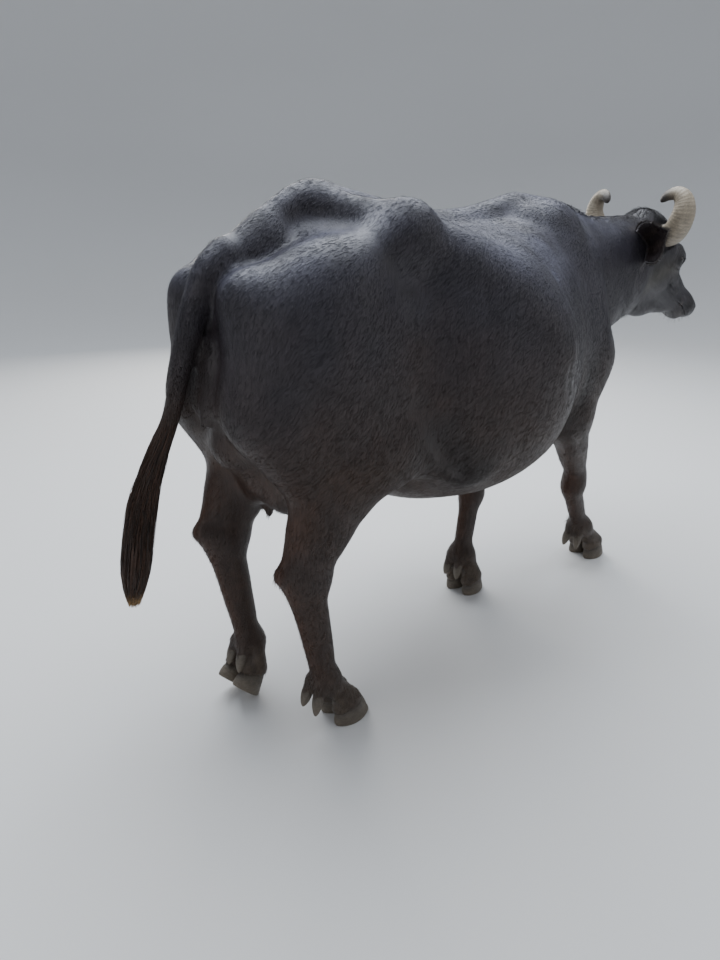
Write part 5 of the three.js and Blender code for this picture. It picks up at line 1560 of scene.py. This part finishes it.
# crown between the horns, falling forward and to the sides
crown = on_head & (hxC > -22) & (hxC < 92) & (np.abs(hyC) < 84) & (hzC > -96) & ~in_horn
P, N = scatter(crown * 1.0, n_of(2900))
hx, hy, hz = inside_frame(HEAD, P[:, 0], P[:, 1], P[:, 2])
D = np.array(HEAD[1][0])[None] * (0.9 * smooth01(hx, -10, 30) - 0.3)[:, None] + np.array(HEAD[1][1])[None] * (hy / 70.0)[:, None]
D = unit(D - N * (D * N).sum(1)[:, None])
L = 34 * RNG.uniform(0.6, 1.3, len(P))
paths, S = tuft_paths(P, N, D, L, np.radians(17) * RNG.uniform(0.3, 1.5, len(P)), 4, 0.45, RNG.normal(0, 0.5, len(P)))
c = (tone(P, N) * 0.45 + DARK * 0.5) * RNG.uniform(0.7, 1.4, len(P))[:, None]
parts.append(locks(paths, S, 1.8 * RNG.uniform(0.7, 1.3, len(P)), 0.4, c[:, None, :] * np.linspace(0.8, 1.35, 5)[None, :, None], P))
# a fringe of hair round the root of each horn
for s in (-1, 1):
    line = [at(HORNF, p[:3]) for p in sided(HORN, s)]
    dh = near_line(TC, line[:3])
    k = (dh > 38) & (dh < 64) & on_head
    P, N = scatter(k * 1.0, n_of(900))
    out_dir = unit(np.array(line[1]) - np.array(line[0]))
    D = unit(out_dir[None] - N * (N @ out_dir)[:, None])
    L = 17 * RNG.uniform(0.6, 1.3, len(P))
    paths, S = tuft_paths(P, N, D, L, np.radians(16) * RNG.uniform(0.3, 1.5, len(P)), 3, 0.2, RNG.normal(0, 0.3, len(P)))
    c = (tone(P, N) * 0.6 + DARK * 0.3) * RNG.uniform(0.7, 1.4, len(P))[:, None]
    parts.append(locks(paths, S, 1.3 * RNG.uniform(0.7, 1.3, len(P)), 0.4, np.repeat(c[:, None, :], 4, 1), P))
# sparse long hair on brisket, throat and behind the elbows
k = ((TC[:, 0] > 940) & (TC[:, 0] < 1500) & (TC[:, 2] < 1010) & (TC[:, 2] > 600) & (np.abs(TC[:, 1]) < 60) & (TN[:, 2] < -0.1)) * 1.0
k += 0.5 * ((near_line(TC, [[815, -165, 690], [835, -180, 740]]) < 45) | (near_line(TC, [[748, 165, 700], [768, 180, 745]]) < 45))
P, N = scatter(k, n_of(900))
D = unit(np.array([-0.5, 0, -1.0])[None] - N * (N @ np.array([-0.5, 0, -1.0]))[:, None])
paths, S = tuft_paths(P, N, D, 26 * RNG.uniform(0.5, 1.3, len(P)), np.radians(20), 4, 0.5, RNG.normal(0, 0.3, len(P)))
c = (tone(P, N) * 0.8 + 0.2 * BROWN) * RNG.uniform(0.7, 1.4, len(P))[:, None]
parts.append(locks(paths, S, 1.2 * RNG.uniform(0.7, 1.3, len(P)), 0.4, np.repeat(c[:, None, :], 5, 1), P))
coat_piece('hair_crest', parts, HAIR_MAT)

# ---- ears: fringe along the rims, two ridges of long hair inside ----
parts = []
for i, F_ in enumerate(EARS):
    A = np.array(F_[1])
    n = n_of(900)
    t = RNG.random(n) ** 0.9
    s2 = np.where(RNG.random(n) < 0.5, -1, 1)
    half = EAR_WIDTH / 2 * (0.34 + 0.66 * np.sin(pi * np.minimum(1, t * 1.05) ** 0.8)) * (1 - 0.9 * t ** 5)
    x_ = -18 + t * (EAR_LENGTH + 18)
    keep = x_ > 26
    x_, s2, half, t = x_[keep], s2[keep], half[keep], t[keep]
    Q = np.array([at(F_, [a, b, c]) for a, b, c in zip(x_, s2 * (half - 3.0), -(12.5 - 6.0 * t) * 0.5 + RNG.uniform(-2, 2, len(x_)))])
    out = s2[:, None] * A[1][None] * (0.75 - 0.5 * t)[:, None] + A[0][None] * (0.55 + 0.6 * t)[:, None] + A[2][None] * RNG.uniform(-0.35, 0.35, len(x_))[:, None]
    D = unit(out)
    N = np.tile(A[2], (len(D), 1))
    N = unit(N - D * (D * N).sum(1)[:, None])
    paths, S = tuft_paths(Q, N, D, 17 * RNG.uniform(0.5, 1.4, len(D)), np.radians(6), 3, 0.25, RNG.normal(0, 0.3, len(D)), 0.0)
    c = np.tile(np.array([0.030, 0.023, 0.020]), (len(D), 1)) * RNG.uniform(0.6, 1.6, len(D))[:, None]
    parts.append(locks(paths, S, 1.1 * RNG.uniform(0.7, 1.3, len(D)), 0.4, np.repeat(c[:, None, :], 4, 1), Q))
    # ridges of hair inside, from the ear's hollow towards the tip and the rim
    n = n_of(1100)
    which = np.where(RNG.random(n) < 0.5, 0.28, -0.25)
    t = RNG.uniform(0.08, 0.62, n)
    half = EAR_WIDTH / 2 * (0.34 + 0.66 * np.sin(pi * np.minimum(1, t * 1.05) ** 0.8)) * (1 - 0.9 * t ** 5)
    u = which + RNG.normal(0, 0.07, n)
    deep = 1 + 0.5 * np.exp(-((t - 0.16) / 0.16) ** 2)
    mid = -0.42 * half * (1 - 0.35 * t) * (1 - u * u) * deep - (12.5 - 6.0 * t) * 0.62
    Q = np.array([at(F_, [a, b, c]) for a, b, c in zip(-18 + t * (EAR_LENGTH + 18), u * half, mid + 3.0)])
    D = unit(A[0][None] * RNG.uniform(0.7, 1.1, n)[:, None] + A[1][None] * (np.sign(u) * RNG.uniform(-0.2, 0.7, n))[:, None] + A[2][None] * RNG.uniform(0.15, 0.55, n)[:, None])
    N = np.tile(A[2], (n, 1))
    N = unit(N - D * (D * N).sum(1)[:, None])
    paths, S = tuft_paths(Q, N, D, 34 * RNG.uniform(0.5, 1.3, n), np.radians(10), 4, 0.15, RNG.normal(0, 0.35, n), 1.0)
    c = np.tile(np.array([0.085, 0.062, 0.055]), (n, 1)) * RNG.uniform(0.5, 1.7, n)[:, None]
    parts.append(locks(paths, S, 1.1 * RNG.uniform(0.7, 1.3, n), 0.4, np.repeat(c[:, None, :], 5, 1), Q))
# lashes
for n_, E in enumerate(EYES):
    n = 40
    o, A = np.array(E[0]), np.array(E[1])
    yy = np.linspace(-14.5, 14.5, n) + RNG.normal(0, 0.4, n)
    zz = 7.8 * (1 - (yy / 16.0) ** 2) + 0.9
    xx = np.sqrt(np.maximum((EYE_RADIUS + 2.6) ** 2 - yy ** 2 - zz ** 2, 1))
    Q = o + xx[:, None] * A[0] + yy[:, None] * A[1] + zz[:, None] * A[2]
    D = unit(A[0][None] * 1.0 + A[2][None] * 0.1 + A[1][None] * (yy / 40)[:, None] + np.array([0, 0, -0.25]))
    N = np.tile(A[2], (n, 1))
    N = unit(N - D * (D * N).sum(1)[:, None])
    paths, S = tuft_paths(Q, N, D, 12 * RNG.uniform(0.7, 1.2, n), np.radians(-14), 4, -0.15, 0, 1.0)
    c = np.tile(DARK * 0.7, (n, 1))
    parts.append(locks(paths, S, np.full(n, 0.38), 0.5, np.repeat(c[:, None, :], 5, 1), Q))
# bristles of muzzle and chin
k = (on_head & (hxC > 400) & (hxC < 505) & (hzC < -84)) * 1.0
P, N = scatter(k, 150)
D = unit(N * 0.8 + np.array(HEAD[1][0])[None] * 0.4 + np.array([0, 0, -0.5])[None])
N2 = unit(np.cross(D, np.cross(N, D) + 1e-6))
paths, S = tuft_paths(P, N2, D, 22 * RNG.uniform(0.5, 1.3, len(P)), np.radians(4), 4, 0.3, RNG.normal(0, 0.2, len(P)), 1.0)
parts.append(locks(paths, S, np.full(len(P), 0.6), 0.5, np.tile(DARK * 1.2, (len(P), 5, 1)), P))
coat_piece('hair_ears', parts, HAIR_MAT)

# ---- the tail: close hair down the dock, then the long switch ----
tt = np.linspace(0, len(TAIL) - 1, 500)
TL = np.array([spline(TAIL, t) for t in tt])
TD = unit(np.gradient(TL[:, :3], axis=0))


def tail_at(u):
    p = np.stack([np.interp(u, tt, TL[:, c]) for c in range(4)], -1)
    d = np.stack([np.interp(u, tt, TD[:, c]) for c in range(3)], -1)
    return p[..., :3], p[..., 3], unit(d)


def tail_lock(n, u0lo, u0hi, u1lo, u1hi, width, spread_lo, spread_hi, K, gold):
    u0 = RNG.uniform(u0lo, u0hi, n)
    u1 = np.maximum(RNG.uniform(u1lo, u1hi, n), u0 + 0.35)
    phi = RNG.uniform(0, 2 * pi, n)
    spread = np.sqrt(RNG.uniform(spread_lo ** 2, spread_hi ** 2, n))
    twist = RNG.normal(0, 0.35, n)
    pts = []
    for j in range(K + 1):
        f = j / K
        u = u0 + (u1 - u0) * f
        c, r, d = tail_at(u)
        a = unit(np.cross(d, np.array([0, 1.0, 0])[None]))
        b = np.cross(d, a)
        ph = phi + twist * f
        z = c[:, 2]
        core = np.minimum(r, 9 + np.maximum(0, z - 380) * 0.034) - 4.0
        s_ = min(1, f * 2.2)
        s_ = s_ * s_ * (3 - 2 * s_)
        env = np.maximum(r, 17) * spread + 1.5 * np.sin(7 * f + phi * 3)
        rad = core * (1 - s_) + np.maximum(env, core) * s_
        pts.append(c + (rad * np.cos(ph))[:, None] * a + (rad * np.sin(ph))[:, None] * b)
    paths = np.stack(pts, 1)
    c0, r0, d0 = tail_at(u0)
    rad0 = unit(paths[:, 0] - c0)
    S = unit(np.cross(d0, rad0))
    base = np.array([0.050, 0.023, 0.0125])
    dk = np.array([0.014, 0.0085, 0.0065])
    m = RNG.random(n)[:, None]
    c = (base * m + dk * (1 - m)) * RNG.uniform(0.7, 1.4, n)[:, None]
    zc = paths[:, :, 2]
    g = 1 - smooth01(zc, 368 + 6, 398 + 14)
    g = g * gold * RNG.uniform(0.35, 1.0, n)[:, None]
    col = c[:, None, :] * (1 - g[..., None]) + np.array([0.42, 0.245, 0.085]) * g[..., None]
    return locks(paths, S, width * RNG.uniform(0.7, 1.3, n), 0.45, col, paths[:, 0], 2.2)


parts = [tail_lock(n_of(1300), 4.0, 5.6, 5.2, 7.0, 2.2, 0.7, 1.0, 6, 0.0),
         tail_lock(n_of(1500), 5.0, 6.6, 7.9, 8.75, 2.6, 0.15, 0.98, 8, 0.9),
         tail_lock(n_of(900), 6.4, 7.9, 8.2, 8.85, 2.4, 0.1, 0.95, 7, 0.9)]
coat_piece('hair_switch', parts, HAIR_MAT, 'tail_switch', slot='tail_hair')
parts = []
k = on_tail * 1.0
parts.append(short_coat(k, n_of(9000), 18, 1.3, 7))
coat_piece('coat_tail', parts, COAT_MAT)



# ================= floor, light and camera =================
def stage():
    m, nt, b = new_material('floor')
    n = node(nt, 'ShaderNodeTexNoise', inputs={'Scale': 3.0, 'Detail': 2.0})
    r = node(nt, 'ShaderNodeMapRange', inputs={'From Min': 0.3, 'From Max': 0.7, 'To Min': 0.64, 'To Max': 0.68})
    nt.links.new(n.outputs['Fac'], r.inputs['Value'])
    cb = node(nt, 'ShaderNodeCombineColor')
    for i in range(3):
        nt.links.new(r.outputs[0], cb.inputs[i])
    nt.links.new(cb.outputs[0], b.inputs['Base Color'])
    b.inputs['Roughness'].default_value = 0.85
    # a round floor that curves up into a low wall
    n, prof = 96, [(6.0, 0.0)]
    prof += [(6.0 + 5.0 * sin(radians(a)), 5.0 - 5.0 * cos(radians(a))) for a in range(3, 91, 3)] + [(11.0, 8.0)]
    vs = [(r_ * cos(2 * pi * j / n), r_ * sin(2 * pi * j / n), z_) for r_, z_ in prof for j in range(n)]
    fs = [tuple(range(n))] + [(i * n + j, i * n + (j + 1) % n, (i + 1) * n + (j + 1) % n, (i + 1) * n + j)[::-1] for i in range(len(prof) - 1) for j in range(n)]
    me = bpy.data.meshes.new('floor')
    me.from_pydata(vs, [], fs)
    me.shade_smooth()
    f = bpy.data.objects.new('floor', me)
    f.data.materials.append(m)
    bpy.context.collection.objects.link(f)


def light(name, place, target, size, power, colour):
    d = bpy.data.lights.new(name, 'AREA')
    d.shape = 'RECTANGLE'
    d.size, d.size_y = size
    d.energy = power
    d.color = colour
    o = bpy.data.objects.new(name, d)
    o.location = place
    o.rotation_euler = (Vector(target) - Vector(place)).to_track_quat('-Z', 'Y').to_euler()
    bpy.context.collection.objects.link(o)


stage()
light('overhead', (0.6, 1.0, 4.6), (0, 0, 0.8), (5.0, 4.5), 400, (0.90, 0.95, 1.0))
light('front_soft', (2.8, -4.2, 2.6), (0, 0, 0.8), (3.5, 3.0), 26, (1.0, 0.97, 0.93))
light('rear_soft', (-4.6, -1.2, 2.2), (0, 0, 0.8), (3.0, 3.0), 26, (1.0, 0.97, 0.94))
light('far_rim', (2.0, 4.6, 2.6), (0.2, 0, 1.0), (3.0, 2.5), 110, (1.0, 0.97, 0.92))
w = bpy.data.worlds.new('world')
bpy.context.scene.world = w
w.use_nodes = True
bg = w.node_tree.nodes['Background']
bg.inputs[0].default_value = (0.80, 0.86, 0.95, 1)
bg.inputs[1].default_value = 0.62

CAM = np.array([-1178.0, -1365.0, 1335.0])
cam = bpy.data.cameras.new('camera')
cam.sensor_fit = 'VERTICAL'
cam.sensor_height = 36.0
cam.lens = 689.2 * 36.0 / 960.0
cam.clip_end = 100
co = bpy.data.objects.new('camera', cam)
co.location = tuple((CAM + SHIFT) / 1000)
yaw, pitch = radians(47.6), radians(21.05)
dv = Vector((cos(yaw) * cos(pitch), sin(yaw) * cos(pitch), -sin(pitch)))
co.rotation_euler = dv.to_track_quat('-Z', 'Y').to_euler()
bpy.context.collection.objects.link(co)
bpy.context.scene.camera = co

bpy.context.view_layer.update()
say('scene ready')
